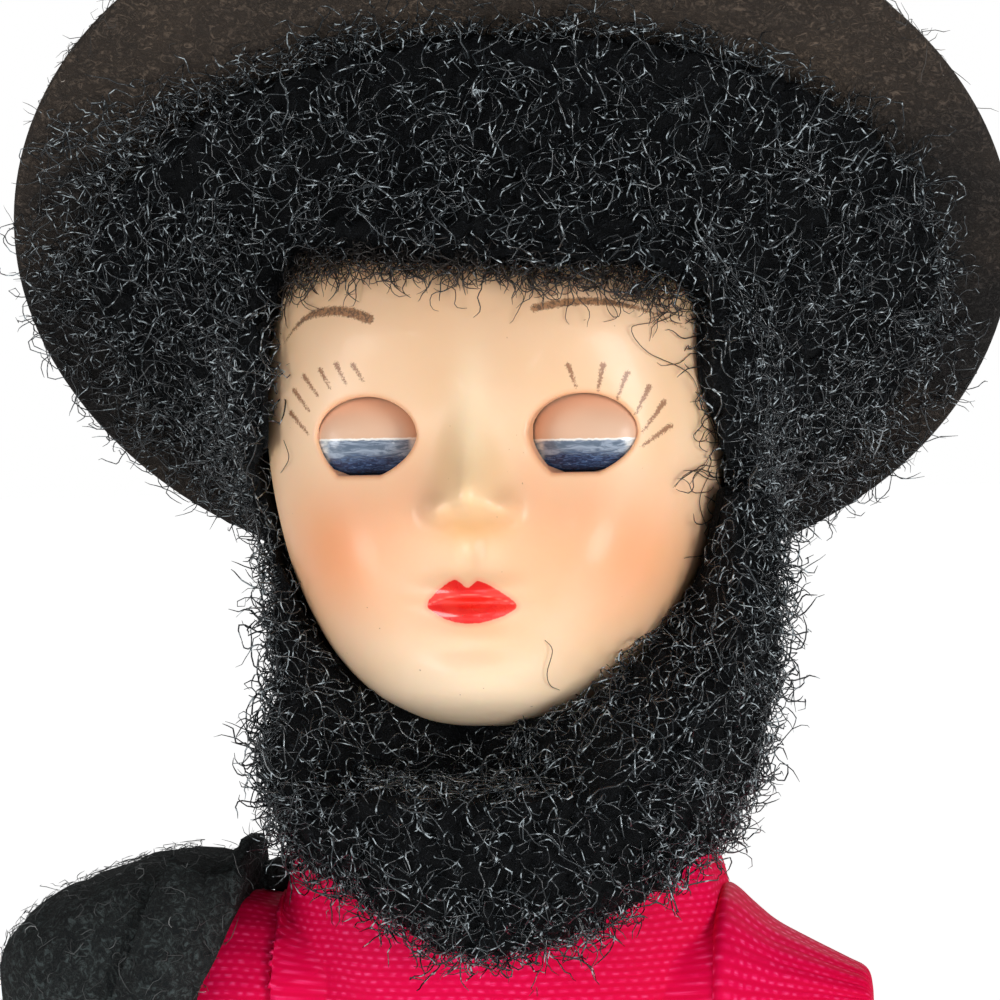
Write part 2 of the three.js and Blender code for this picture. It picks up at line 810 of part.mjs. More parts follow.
function shirtBody(satin) {
  let shirt = trunk(shirtOuter, shirtHem, bodyTop, shirtRows);
  shirt = shirt.subtract(trunk(shirtInner, shirtHem - 1, bodyTop, shirtRows));
  shirt = shirt.subtract(barZ(neckRadius + 1.4, 0, 0, bodyTop - 3, bodyTop + 12, 20));
  for (const side of [-1, 1]) {
    const span = side > 0 ? [seatX - 3, seatX + 12] : [-seatX - 12, 3 - seatX];
    shirt = shirt.subtract(barX(armholeRadius, ...span, 0, shoulderZ, 20));
  }
  return toMesh("shirt_body", shirt, satin);
}

// A short sleeve turned about the shoulder: open towards the trunk and round the arm. The left one
// has a full gathered head, and the right one lies flat under the coat.
function shirtSleeve(name, side, satin) {
  const near = seatX + 1;
  const inner = armBallRadius + clothGap;
  const outer = inner + shirtThickness;
  const besideShirt = bodyHalfWidth + shirtOuter + clothGap;
  const flat = [
    [near + 3.6, outer + 0.3],
    [sleeveEndX, outer - 1.2],
    [sleeveEndX, inner - 1.2],
    [near + 3.6, inner + 0.3],
  ];
  const full = [
    [besideShirt, armholeRadius - 0.4],
    [besideShirt + 0.1, sleeveHeadRadius - 0.7],
    [besideShirt + 0.6, sleeveHeadRadius],
    [armBallX, outer + 0.2],
    [sleeveEndX, outer - 1.9],
    [sleeveEndX, inner - 1.9],
    [armBallX, inner + 0.2],
  ];
  const section = [[near, armholeRadius - 0.95], [near, armholeRadius - 0.4], ...(side > 0 ? full : flat)];
  const geometry = new THREE.LatheGeometry(
    [...section, section[0]].map(([x, r]) => new THREE.Vector2(r, side * x)),
    16,
  );
  geometry.rotateZ(-Math.PI / 2);
  geometry.translate(0, 0, shoulderZ);
  const reach = clothGap + 0.1;
  const clearBall = ball(armBallRadius + reach, side * armBallX, 0, shoulderZ, 12);
  const sleeve = outwards(geometry).subtract(armTube(side, reach, 5)).subtract(clearBall);
  return toMesh(`shirt_sleeve_${name}`, sleeve, satin);
}

// One trouser leg as level rings that stand off the moulded leg, looser on the outer side.
function trouserLeg(side, grow, low, high) {
  const level = (z, radius, y) =>
    ring({
      x: side * (legOffset + trouserEase / 2),
      y,
      z,
      width: radius + trouserEase / 2 + clothGap + grow,
      front: radius + trouserEase + clothGap + grow + 0.8,
      sides: 14,
    });
  return loft([
    level(low, trouserHemRadius, 1.3),
    level((low + kneeZ) / 2, trouserKneeRadius, 1.5),
    level(kneeZ, trouserKneeRadius, 0.2),
    level(crotchZ - 4, thighRadius, 0),
    level(high, thighRadius, 0),
  ]);
}

function trousers(felt) {
  const overShirt = shirtOuter + clothGap;
  const top = waistZ - waistbandHeight - runningGap;
  let outer = trunk(overShirt + feltThickness, crotchZ - 2, top, 4, 20);
  let inner = trunk(overShirt, crotchZ - 1, top + 3, 4, 20);
  for (const side of [-1, 1]) {
    outer = outer.add(trouserLeg(side, feltThickness, trouserHem, crotchZ + 3));
    inner = inner.add(trouserLeg(side, 0, trouserHem - 1, crotchZ + 2));
  }
  const inseam = box(-0.2, 0.2, -farAway, farAway, 0, crotchZ - 4.5);
  return toMesh("trousers", outer.subtract(inner).subtract(inseam), felt);
}

function waistband(felt) {
  const overShirt = shirtOuter + clothGap;
  const low = waistZ - waistbandHeight;
  let band = trunk(overShirt + feltThickness + 0.3, low, waistZ, 1, 20);
  band = band.subtract(trunk(overShirt, low - 1, waistZ + 1, 1, 20));
  return toMesh("trouser_waistband", band, felt);
}

// The coat's section at a height: it hangs from the shoulders and flares towards the hem.
const coatInner = shirtOuter + clothGap + feltThickness + 0.3 + clothGap;

function coatRing(z, at, grow) {
  const share = THREE.MathUtils.clamp((at - crotchZ) / trunkTop, 0, 1);
  const [width, depth] = trunkForm(share);
  const half = Math.max(width, 0.93) * bodyHalfWidth + coatInner;
  const flare = coatFlare * (1 - THREE.MathUtils.smoothstep(at, coatHem, waistZ));
  return ring({
    z,
    width: Math.min(half, coatHalfWidth - feltThickness) + grow,
    front: depth * bodyHalfDepth + coatInner + flare + grow,
    power: 2.4,
    sides: 24,
  });
}

function coatRings(grow, extra) {
  const low = coatHem - extra;
  const high = coatTopRight + 3 + extra;
  return evenRows(low, high, 8).map((z) => {
    const at = THREE.MathUtils.clamp(z, coatHem, coatTopRight + 3);
    return coatRing(z, at, grow);
  });
}

function coatShell(grow, extra) {
  return loft(coatRings(grow, extra));
}

// The coat has slid off the left shoulder: its top edge slants down across the back.
function coatBody(felt) {
  const frontOpening = polygon([
    [-coatFrontHalfWidth, farAway],
    [-coatFrontHalfWidth, coatFrontBendZ],
    [0.5 - coatHemHalfOpening, coatHem - 4],
    [coatHemHalfOpening + 0.5, coatHem - 4],
    [coatFrontHalfWidth - 1, coatTopLeft],
    [coatFrontHalfWidth - 1, farAway],
  ]);
  const aboveTopEdge = polygon([
    [-farAway, farAway],
    [-farAway, coatTopRight],
    [-0.6 * coatHalfWidth, coatTopRight],
    [0.2 * coatHalfWidth, coatTopRight - 3],
    [coatHalfWidth + 0.5, coatTopLeft],
    [farAway, coatTopLeft],
    [farAway, farAway],
  ]);
  let coat = coatShell(feltThickness, 0).subtract(coatShell(0, 2));
  coat = coat.subtract(slabXZ(frontOpening, -farAway, -1));
  coat = coat.subtract(slabXZ(aboveTopEdge, -farAway, farAway));
  coat = coat.subtract(barX(armholeRadius + 0.4, -farAway, -8, 0, shoulderZ, 20));
  return toMesh("coat_body", coat, felt);
}

const sleeveInnerX = coatHalfWidth + runningGap;
const sleeveTopZ = shoulderZ + coatSleeveRise;

// The right sleeve's section at a share of the way from the shoulder's top to the cuff. It widens
// outwards from the coat's side over the shoulder's drop.
function sleeveRing(share, grow) {
  const z = THREE.MathUtils.lerp(sleeveTopZ, coatSleeveEndZ, share);
  const above = 1 - Math.min((sleeveTopZ - z) / coatShoulderDrop, 1);
  const wide = Math.max(1 - above ** 2, 0.16);
  const deep = Math.max(Math.sqrt(1 - above ** 2), 0.3);
  const taper = THREE.MathUtils.smoothstep(share, 0.25, 1);
  const slim = THREE.MathUtils.smoothstep(share, 0.18, 0.7);
  const half = THREE.MathUtils.lerp(coatSleeveHalfWidth, coatCuffHalfWidth, slim) * wide;
  const crease = 0.5 * Math.sin(share * 9 * Math.PI) * taper * (1 - taper) * 4;
  return ring({
    x: 0.1 - sleeveInnerX - half,
    y: -5 * taper,
    z: z + grow,
    width: half + grow,
    front: THREE.MathUtils.lerp(coatSleeveHalfDepth, coatCuffHalfDepth, share) * deep + grow + crease,
    power: 2.8,
    sides: 16,
  });
}

function sleeveTube(grow, shares) {
  return loft(shares.map((share) => sleeveRing(share, grow)));
}

const shoulderShares = [0, 0.015, 0.05, 0.12, 0.22, 0.35, 0.48, 0.61];

// The right sleeve hangs from the shoulder over the arm and turns with it.
function coatSleeveRight(felt) {
  const shares = [...shoulderShares, 0.74, 0.87, 1];
  const inside = sleeveTube(-feltThickness, [...shares, 1.06]);
  const opening = barX(armholeRadius + 0.7, -sleeveInnerX - 3.4, -sleeveInnerX + 2, 0, shoulderZ, 16);
  const trunkSide = box(-sleeveInnerX, farAway, -farAway, farAway, 0, farAway);
  const sleeve = sleeveTube(0, shares).subtract(inside).subtract(opening).subtract(trunkSide);
  return toMesh("coat_sleeve_right", sleeve, felt);
}

// The coat's front edge, turned back over the sleeve head as one flat fold of felt.
function coatFold(felt) {
  const over = sleeveTube(runningGap + feltThickness, shoulderShares);
  const under = sleeveTube(runningGap, shoulderShares);
  const top = sleeveTopZ + 4;
  const edgeX = -sleeveInnerX - runningGap;
  const lowEdgeX = edgeX - 1.6 * coatFoldSlant;
  const strip = polygon([
    [edgeX, top],
    [edgeX - coatFoldSlant, shoulderZ + 3],
    [lowEdgeX, coatFoldEndZ],
    [lowEdgeX - coatFoldWidth * 0.7, coatFoldEndZ + 2],
    [edgeX - coatFoldSlant - coatFoldWidth, shoulderZ + 3],
    [edgeX - coatFoldWidth, top],
  ]);
  const fold = over.subtract(under).intersect(slabXZ(strip, -farAway, -0.5));
  return toMesh("coat_front_fold", fold, felt);
}

// The left sleeve has slid down and sits loose round the upper arm and the elbow.
function coatSleeveLeft(felt) {
  const tube = (grow, extra) =>
    loft(
      evenRows(-extra, 1 + extra, 7).map((share) => {
        const z = THREE.MathUtils.lerp(coatTopLeft - 2, coatSleeveEndZ, share);
        const crease = 0.4 * Math.sin(share * 3.5 * Math.PI);
        return ring({
          x: sleeveInnerX + slippedHalfWidth + THREE.MathUtils.lerp(0.1, -0.2, share),
          y: THREE.MathUtils.lerp(-0.6, -4.4, share),
          z,
          width: THREE.MathUtils.lerp(slippedHalfWidth, slippedCuffHalfWidth, share) + grow,
          front: THREE.MathUtils.lerp(slippedHalfDepth, slippedCuffHalfDepth, share) + grow + crease,
          power: 2.2,
          sides: 14,
        });
      }),
    );
  return toMesh("coat_sleeve_left", tube(0, 0).subtract(tube(-feltThickness, 0.06)), felt);
}

// The hat's place: leaned sideways, tilted back, and set on the back of the head.
function onHead(geometry) {
  geometry.rotateX(THREE.MathUtils.degToRad(-hatTilt));
  geometry.rotateY(THREE.MathUtils.degToRad(-hatLean));
  geometry.translate(0, hatCentreY, hatCentreZ);
  return geometry;
}

// The brim's underside, from the crown's opening to the drooping edge.
const brimUnderside = [
  [crownRadius - feltThickness, 0],
  [crownRadius + 8, -0.1],
  [brimRadius - 5, -brimDroop * 0.55],
  [brimRadius - 0.3, -brimDroop],
];

// Everything above the underside of the brim, less a gap.
function aboveBrim(gap) {
  const under = brimUnderside.map(([r, z]) => [r, z - gap]);
  const section = [[0, -gap], ...under, [brimRadius, farAway], [0, farAway]];
  return outwards(onHead(latheSolid(section, 24)));
}

// The head's outside with its moulded features, grown by a gap, in fewer rings.
function headKeepOut(gap) {
  const grow = gap + 0.65;
  const rows = evenRows(eyeLine - headBelowEyes - grow, eyeLine + headAboveEyes + grow, 10);
  return headBlob(grow, rows, 20, true);
}

// The part of the face that the hair and the beard leave bare, as an outline from the front.
function bareFace() {
  const shape = new THREE.Shape();
  const side = headHalfWidth * 0.9;
  const hairline = eyeLine + hairlineRise;
  const chin = eyeLine - headBelowEyes + 0.4;
  const cheek = eyeLine - 5;
  shape.moveTo(-side, cheek);
  shape.bezierCurveTo(-side, eyeLine - 14, -side * 0.62, chin, 0, chin);
  shape.bezierCurveTo(side * 0.62, chin, side, eyeLine - 14, side, cheek);
  shape.lineTo(side, hairline - 4);
  shape.quadraticCurveTo(side, hairline, side - 4, hairline);
  shape.lineTo(-side + 4, hairline);
  shape.quadraticCurveTo(-side, hairline, -side, hairline - 4);
  return slabXZ(shape, -farAway, headSeamY - 2, 7);
}

// Curly hair: a wig round the skull that flares out along the underside of the brim. It stops short
// of the raised front of the brim.
function hairMass(grow) {
  const flare = evenRows(0, 1, 4).map((share) => {
    const r = THREE.MathUtils.lerp(hairFlareRadius, headHalfWidth * 0.55, share);
    return [r, -brimDroop - 1 - grow - (hairFlareDepth - 1) * share ** 1.4];
  });
  const top = 1;
  const low = -hairFlareDepth - brimDroop - grow;
  const collar = latheSolid([[0.01, top], [hairFlareRadius, top], ...flare, [0.01, low]], 24);
  const places = collar.getAttribute("position");
  for (let i = 0; i < places.count; i++) {
    const y = places.getY(i);
    const depth = THREE.MathUtils.clamp((-2 * places.getZ(i)) / hairFlareDepth, 0, 1);
    const drawnIn = THREE.MathUtils.lerp(hairFlareFront / hairFlareRadius, 1, depth);
    if (y < 0) places.setY(i, y * drawnIn);
  }
  const wig = loft(
    evenRows(eyeLine - napeDrop, eyeLine + headAboveEyes + wigThickness, 7).map((z) => {
      const section = headSection(z, wigThickness + grow);
      const open = 1 - THREE.MathUtils.smoothstep(z, eyeLine - 8, eyeLine + 2);
      return ring({ ...section, z, front: section.front * (1 - 0.92 * open), power: 2.3, sides: 18 });
    }),
  );
  return outwards(onHead(collar)).add(wig);
}

function hairPile(pile) {
  const hair = hairMass(0)
    .subtract(headKeepOut(runningGap))
    .subtract(bareFace())
    .subtract(aboveBrim(runningGap));
  return toMesh("hair_pile", hair, pile);
}

// The beard hangs from the jaw. It clears the shirt and the coat over the head's whole turn.
function beardPile(pile) {
  const form = profile([
    [0, 0.32, 0.91],
    [0.06, 0.56, 0.963],
    [0.155, 0.76, 0.99],
    [0.31, 0.91, 1.0],
    [0.49, 0.97, 0.977],
    [0.68, 1.0, 0.907],
    [0.865, 1.0, 0.785],
    [1, 0.97, 0.63],
  ]);
  const mass = loft(
    evenRows(0, 1, 9).map((share) => {
      const [width, front] = form(share);
      return ring({
        x: beardShift * THREE.MathUtils.lerp(0.4, 1, THREE.MathUtils.smoothstep(share, 0, 0.65)),
        z: THREE.MathUtils.lerp(beardTipZ, whiskerTop, share),
        width: width * beardHalfWidth,
        front: front * beardDepth,
        back: 3,
        power: 2.2,
        sides: 20,
      });
    }),
  );
  const front = box(-farAway, farAway, -farAway, 2, 0, farAway);
  let beard = mass.intersect(front).subtract(headKeepOut(runningGap)).subtract(bareFace());
  beard = beard.subtract(barZ(neckRadius + 1, 0, 0, shoulderZ, eyeLine - headBelowEyes + 8, 16));
  for (const turn of [-headTurn, 0, headTurn]) beard = beard.subtract(chestSpace(turn));
  return toMesh("beard_pile", beard.subtract(hairMass(runningGap)), pile);
}

// The space of the shirt and the coat in front of the neck, turned about the neck.
function chestSpace(turn) {
  const about = new THREE.Vector3(0, 0, 1);
  const angle = THREE.MathUtils.degToRad(turn);
  const turned = (rings) => rings.map((points) => points.map((p) => p.applyAxisAngle(about, angle)));
  const gap = clothGap + 0.15;
  const shirt = loft(turned(trunkRings(shirtOuter + gap, shirtHem, bodyTop + 0.2, shirtRows, 22)));
  const coat = loft(turned(coatRings(feltThickness + gap, 0.4)));
  return shirt.add(coat.intersect(box(-farAway, -10, -farAway, farAway, 0, coatTopRight + gap)));
}

function latheSolid(points, sides) {
  const closed = [...points, points[0]].map(([r, z]) => new THREE.Vector2(r, z));
  const geometry = new THREE.LatheGeometry(closed, sides);
  geometry.rotateX(Math.PI / 2);
  return geometry;
}

function outwards(geometry) {
  let solid = toSolid(geometry);
  if (solid.volume() >= 0) return solid;
  const index = geometry.index.array;
  for (let i = 0; i < index.length; i += 3) [index[i + 1], index[i + 2]] = [index[i + 2], index[i + 1]];
  return toSolid(geometry);
}

// The felt hat: a flat brim whose edge droops a little, a blocked crown and a ribbon band.
function hatParts(felt, ribbon) {
  const sides = 32;
  const t = feltThickness;
  const brim = latheSolid(
    [
      ...brimUnderside,
      [brimRadius, -brimDroop + t / 2],
      ...brimUnderside.map(([r, z]) => [r, z + t]).reverse(),
    ],
    sides,
  );
  const rise = t + 0.15;
  const top = rise + crownHeight;
  const crown = latheSolid(
    [
      [crownRadius - t, rise],
      [crownRadius, rise],
      [crownRadius - 0.6, top - 2.6],
      [crownRadius - 2, top - 0.7],
      [crownRadius - 4.6, top],
      [0, top],
      [0, top - t],
      [crownRadius - 4.8, top - t],
      [crownRadius - 0.6 - t, top - 3],
    ],
    sides,
  );
  const bandLow = rise + 0.3;
  const band = latheSolid(
    [
      [crownRadius + 0.15, bandLow],
      [crownRadius + 0.15 + bandThickness, bandLow],
      [crownRadius + 0.05 + bandThickness, bandLow + bandWidth],
      [crownRadius + 0.05, bandLow + bandWidth],
    ],
    sides,
  );
  return [
    toMesh("hat_brim", outwards(onHead(brim)), felt),
    toMesh("hat_crown", outwards(onHead(crown)), felt),
    toMesh("hat_band", outwards(onHead(band)), ribbon),
  ];
}

function material(color, roughness, metalness = 0) {
  return new THREE.MeshStandardMaterial({ color, roughness, metalness });
}

const plastic = material(0xe9bd96, 0.35);
const eyePaint = material(0x4a5f7c, 0.3);
const steel = material(0x9a9a98, 0.35, 1);
const lead = material(0x55565a, 0.6, 1);
const rubber = material(0xb9a07a, 0.7);
const satin = material(0xd4043c, 0.45);
const coatFelt = material(0x1b1d1f, 0.95);
const hatFelt = material(0x1c1a1b, 0.95);
const ribbon = material(0x0c0c0d, 0.6);
const pile = material(0x0d0f12, 0.6);

const doll = new THREE.Group();
const everyPart = [
  ...headParts(plastic),
  eyeBall("eye_left", 1, eyePaint),
  eyeBall("eye_right", -1, eyePaint),
  ...eyeRocker(steel, lead),
  neckHook(steel),
  stringingBand(rubber),
  ...bodyParts(plastic),
  ...armParts("left", 1, plastic, steel),
  ...armParts("right", -1, plastic, steel),
  shirtBody(satin),
  shirtSleeve("left", 1, satin),
  shirtSleeve("right", -1, satin),
  trousers(coatFelt),
  waistband(coatFelt),
  coatBody(coatFelt),
  coatSleeveRight(coatFelt),
  coatFold(coatFelt),
  coatSleeveLeft(coatFelt),
  hairPile(pile),
  beardPile(pile),
  ...hatParts(hatFelt, ribbon),
];
for (const part of everyPart) doll.add(part);

// The origin is under the middle of the doll's whole depth, which the tilted hat sets.
doll.position.y = -standCentreY;

export default doll;
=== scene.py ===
"""The dressed doll's looks: moulded skin with painted features, curled hair, felt, ribbed taffeta.

Every surface is worked out in millimetres from the neck's axis, as the solids are, and put into
the frame by to_row, which moves it to the middle of the stand and turns millimetres into metres.
"""
import math

import bmesh
import bpy
import numpy as np
from mathutils import Matrix, Vector


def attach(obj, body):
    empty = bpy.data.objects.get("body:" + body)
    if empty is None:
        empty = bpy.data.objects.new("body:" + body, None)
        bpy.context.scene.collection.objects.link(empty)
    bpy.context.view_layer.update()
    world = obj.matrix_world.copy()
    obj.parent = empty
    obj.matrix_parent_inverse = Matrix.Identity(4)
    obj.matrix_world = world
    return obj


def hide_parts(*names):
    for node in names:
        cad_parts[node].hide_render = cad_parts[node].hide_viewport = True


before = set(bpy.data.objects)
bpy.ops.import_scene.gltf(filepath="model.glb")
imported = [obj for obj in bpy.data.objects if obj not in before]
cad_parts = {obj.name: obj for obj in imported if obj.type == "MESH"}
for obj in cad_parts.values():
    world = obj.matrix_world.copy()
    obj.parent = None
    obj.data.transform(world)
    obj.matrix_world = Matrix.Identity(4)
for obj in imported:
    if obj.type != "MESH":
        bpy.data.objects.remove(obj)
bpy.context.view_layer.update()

# Places, in millimetres
STAND_CENTRE_Y = 7.7
MM = 0.001
EYE_LINE = 174.0
HEAD_HALF_WIDTH, HEAD_FRONT, HEAD_BACK = 17.0, 15.6, 18.2
HEAD_ABOVE, HEAD_BELOW, HEAD_POWER = 21.0, 21.0, 2.5
FACE_CROWD = 0.66
NOSE_RISE, NOSE_DROP = 3.3, 4.3
MOUTH_DROP, MOUTH_HALF_WIDTH, CHIN_DROP = 11.8, 3.1, 17.4
EYE_OFFSET, EYE_BALL_RADIUS, EYE_CENTRE_Y = 7.7, 4.6, -8.7
EYE_HOLE_HALF, EYE_HOLE_UP, EYE_HOLE_DOWN, EYE_GAP, EYE_BARREL = 3.75, 2.85, 2.7, 0.12, 3.0
EYE_LOW_HALF, EYE_LOW_SHIFT = 1.6, -0.5
NECK_RADIUS, NECK_BALL_Z = 6.5, 150.5
BODY_HALF_WIDTH, BODY_HALF_DEPTH, BODY_TOP, CROTCH_Z = 16.0, 9.6, 147.0, 84.0
SHOULDER_Z, SEAT_X = 131.0, 15.6
LEG_OFFSET, THIGH, KNEE, ANKLE, ANKLE_Z, KNEE_Z = 8.4, 6.6, 5.4, 4.1, 13.0, 47.0
SHOE_HALF_LENGTH, SHOE_HALF_WIDTH, SHOE_HEEL = 12.5, 5.6, 8.5
ARM_BALL, ARM_LENGTH, WRIST, ELBOW, ARM_STAND_OFF, ARM_SPLAY = 7.4, 54.0, 3.0, 4.2, 4.4, 1.2
RUNNING_GAP, CLOTH_GAP, SHIRT_THICKNESS, FELT_THICKNESS = 0.3, 0.35, 0.7, 1.1
SHIRT_HEM, ARMHOLE, SLEEVE_END_X, WAIST_Z, TROUSER_HEM = 96.0, 8.6, 26.4, 110.0, 10.0
ARMHOLE_TUBE_X, ARMHOLE_TURN, SHOULDER_PUFF, SHOULDER_PUFF_Z = 16.4, 1.8, 0.3, 142.6
SHOULDER_SLOPE = [(15.9, 8.4), (16.3, 9.2), (17.0, 8.9), (18.3, 7.7), (19.9, 6.4), (22.3, 5.1), (25.1, 3.7),
                  (28.1, 1.2)]
TRUNK_POWER, COAT_POWER = 2.3, 2.4
WAISTBAND_HEIGHT = 6.0
COAT_HALF_WIDTH, COAT_HEM, COAT_TOP_RIGHT, COAT_TOP_LEFT = 18.5, 80.0, 142.0, 118.0
COAT_FRONT_HALF, COAT_FRONT_BEND_Z, COAT_HEM_HALF, COAT_SIDE = 17.6, 122.0, 10.0, 18.2
COAT_SLEEVE_HALF, COAT_CUFF_HALF, COAT_SLEEVE_RISE, COAT_SLEEVE_END_Z = 9.6, 6.8, 13.6, 91.0
COAT_SHOULDER_DROP, COAT_FOLD_WIDTH, COAT_FOLD_END_Z = 10.7, 5.0, 112.0
HAIRLINE_RISE, HAIRLINE_SLANT = 11.6, 0.075
HAIR_REACH = [(-180, 37), (-150, 34), (-127, 26), (-85, 22), (-50, 26), (-26, 29), (3, 31), (22, 34),
              (40, 37), (180, 37)]
HAT_TILT, HAT_LEAN, HAT_CENTRE_Y, HAT_CENTRE_Z = 42.5, 3.0, 9.2, 187.4
BRIM_RADIUS, CROWN_RADIUS, CROWN_HEIGHT, BRIM_DROOP = 38.2, 16.4, 14.0, 1.6
BAND_WIDTH, BAND_THICKNESS = 4.5, 0.5
POLE = 0.02
FAR = 9.0

# The camera, found from the eyes, nose, mouth, chin and brim of the photograph
FRAME_PIXELS = 1000
CAMERA_AZIMUTH, CAMERA_ELEVATION, CAMERA_ROLL = 7.4, 1.2, -1.0
CAMERA_DISTANCE, FOCAL_PIXELS = 240.0, 3407.0
AIM_ACROSS, AIM_Y, AIM_Z = 1.77, -14.0, 169.41


def camera_axes():
    """The camera's right, up and forward directions, turned by azimuth, elevation and roll."""
    turn, rise, roll = (math.radians(a) for a in (CAMERA_AZIMUTH, CAMERA_ELEVATION, CAMERA_ROLL))
    forward = np.array([-math.sin(turn) * math.cos(rise), math.cos(turn) * math.cos(rise), -math.sin(rise)])
    level = np.array([math.cos(turn), math.sin(turn), 0.0])
    upright = np.cross(level, forward)
    right = math.cos(roll) * level + math.sin(roll) * upright
    up = -math.sin(roll) * level + math.cos(roll) * upright
    return right, up, forward


def camera_place():
    _, _, forward = camera_axes()
    turn = math.radians(CAMERA_AZIMUTH)
    aim = np.array([0, AIM_Y, AIM_Z]) + AIM_ACROSS * np.array([math.cos(turn), math.sin(turn), 0])
    return aim - CAMERA_DISTANCE * forward


def to_row(points):
    """Millimetres from the neck's axis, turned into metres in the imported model's frame."""
    return (np.asarray(points, float) - (0, STAND_CENTRE_Y, 0)) * MM


# Small tools for shapes


def smoothstep(value, low, high):
    """Rises from 0 at low to 1 at high, flat at both ends."""
    share = np.clip((np.asarray(value, float) - low) / (high - low), 0, 1)
    return share * share * (3 - 2 * share)


def blend_of(a, b, share):
    return a + (b - a) * share


def level_curve(levels):
    """A smooth curve through rows of numbers: cubic pieces whose slopes are half the chord across."""
    rows = np.array(levels, float)
    ends = np.vstack([rows[:1], rows, rows[-1:]])
    t = np.linspace(0, 1, 33)[:, None]
    pieces = []
    for a, b, c, d in zip(ends, ends[1:], ends[2:], ends[3:]):
        start, stop = (c - a) / 2, (d - b) / 2
        pieces.append(b + start * t + (3 * c - 3 * b - 2 * start - stop) * t**2
                      + (2 * b - 2 * c + start + stop) * t**3)
    return np.vstack(pieces)


def at_level(curve, where):
    """The other columns of a curve at places along its first one."""
    return [np.interp(where, curve[:, 0], curve[:, k]) for k in range(1, curve.shape[1])]


def along_levels(levels, count):
    """Rows of numbers rounded into a smooth run of count rows, as one array for each column."""
    curve = level_curve([(i, *level) for i, level in enumerate(levels)])
    return at_level(curve, np.linspace(0, len(levels) - 1, count))


def round_angles(count, seam=False):
    """Angles once round from the front. With a seam the last one is a full turn, over the first."""
    return np.linspace(0, 2 * np.pi, count, endpoint=seam)


def oval(angle, width, front, back=None, power=2.0):
    """x and y of a rounded section at an angle from the front: powers of its sine and cosine."""
    across, along = np.sin(angle), np.cos(angle)
    depth = np.where(along > 0, front, front if back is None else back)
    return (width * np.sign(across) * np.abs(across) ** (2 / power),
            -depth * np.sign(along) * np.abs(along) ** (2 / power))


def wobble(points, size, seed, waves=9):
    """Smooth noise between about -1 and 1: a sum of plane waves in random directions."""
    rng = np.random.default_rng(seed)
    way = rng.normal(size=(waves, 3))
    way /= np.linalg.norm(way, axis=1)[:, None]
    reach = size * rng.uniform(0.7, 1.5, waves)
    phase = rng.uniform(0, 2 * np.pi, waves)
    total = 0
    for k in range(waves):
        total = total + np.sin(points @ way[k] * (2 * np.pi / reach[k]) + phase[k])
    return total / math.sqrt(waves)


def put_object(name, data):
    """A new object in the scene."""
    made = bpy.data.objects.new(name, data)
    bpy.context.scene.collection.objects.link(made)
    return made


def put_mesh(name, points, faces, uv=None, masks=None, smooth=True):
    """A mesh from points in millimetres and arrays of faces, with its cloth map and painted masks."""
    mesh = bpy.data.meshes.new(name)
    groups = [np.asarray(f) for f in (faces if isinstance(faces, (list, tuple)) else [faces])]
    corners = np.concatenate([f.ravel() for f in groups]).astype(np.int32)
    sides = np.concatenate([np.full(len(f), f.shape[1]) for f in groups])
    starts = np.concatenate([[0], np.cumsum(sides)[:-1]]).astype(np.int32)
    mesh.vertices.add(len(points))
    mesh.vertices.foreach_set("co", to_row(points).astype(np.float32).ravel())
    mesh.loops.add(len(corners))
    mesh.loops.foreach_set("vertex_index", corners)
    mesh.polygons.add(len(sides))
    mesh.polygons.foreach_set("loop_start", starts)
    mesh.polygons.foreach_set("use_smooth", np.full(len(sides), smooth))
    mesh.update(calc_edges=True)
    if uv is not None:
        layer = mesh.uv_layers.new(name="cloth")
        layer.uv.foreach_set("vector", np.asarray(uv, np.float32)[corners].ravel())
    for key, values in (masks or {}).items():
        layer = mesh.attributes.new(key, "FLOAT", "POINT")
        layer.data.foreach_set("value", np.asarray(values, np.float32).ravel())
    return put_object(name, mesh)


def grid_faces(rows, columns, wrap=False):
    """Quads between neighbouring rows and columns of a grid, joined round if it wraps."""
    r = np.arange(rows - 1)[:, None]
    c = np.arange(columns if wrap else columns - 1)[None, :]
    n = (c + 1) % columns
    quads = np.stack([r * columns + c, r * columns + n, (r + 1) * columns + n, (r + 1) * columns + c], -1)
    return quads.reshape(-1, 4)


def loft(rings):
    """Rings of points joined in order; each end is closed by a fan round its middle."""
    rings = np.asarray(rings, float)
    rows, columns = rings.shape[:2]
    points = np.vstack([rings.reshape(-1, 3), rings[0].mean(0), rings[-1].mean(0)])
    c = np.arange(columns)
    n = (c + 1) % columns
    last = (rows - 1) * columns
    first_fan = np.stack([n, c, np.full(columns, rows * columns)], -1)
    last_fan = np.stack([last + c, last + n, np.full(columns, rows * columns + 1)], -1)
    return points, [grid_faces(rows, columns, wrap=True), first_fan, last_fan]


def several(*shapes):
    """Several points-and-faces shapes as one."""
    points, faces, start = [], [], 0
    for shape_points, shape_faces in shapes:
        points.append(shape_points)
        faces += [np.asarray(f) + start for f in shape_faces]
        start += len(shape_points)
    return np.vstack(points), faces


def kept_faces(rows, columns, keep):
    """The quads of a grid whose corners all stay."""
    quads = grid_faces(rows, columns)
    return quads[keep[quads].all(1)]


def rows_of(section, levels, columns):
    """Rings from a function of height and angle, one for each level."""
    angle = round_angles(columns)
    return np.stack([section(z, angle) for z in levels])


def thicken(piece, thickness):
    """Gives a sheet its thickness, inwards from the side that shows."""
    wall = piece.modifiers.new("thickness", "SOLIDIFY")
    wall.thickness = thickness * MM
    wall.offset = -1.0
    wall.use_even_offset = False
    return piece


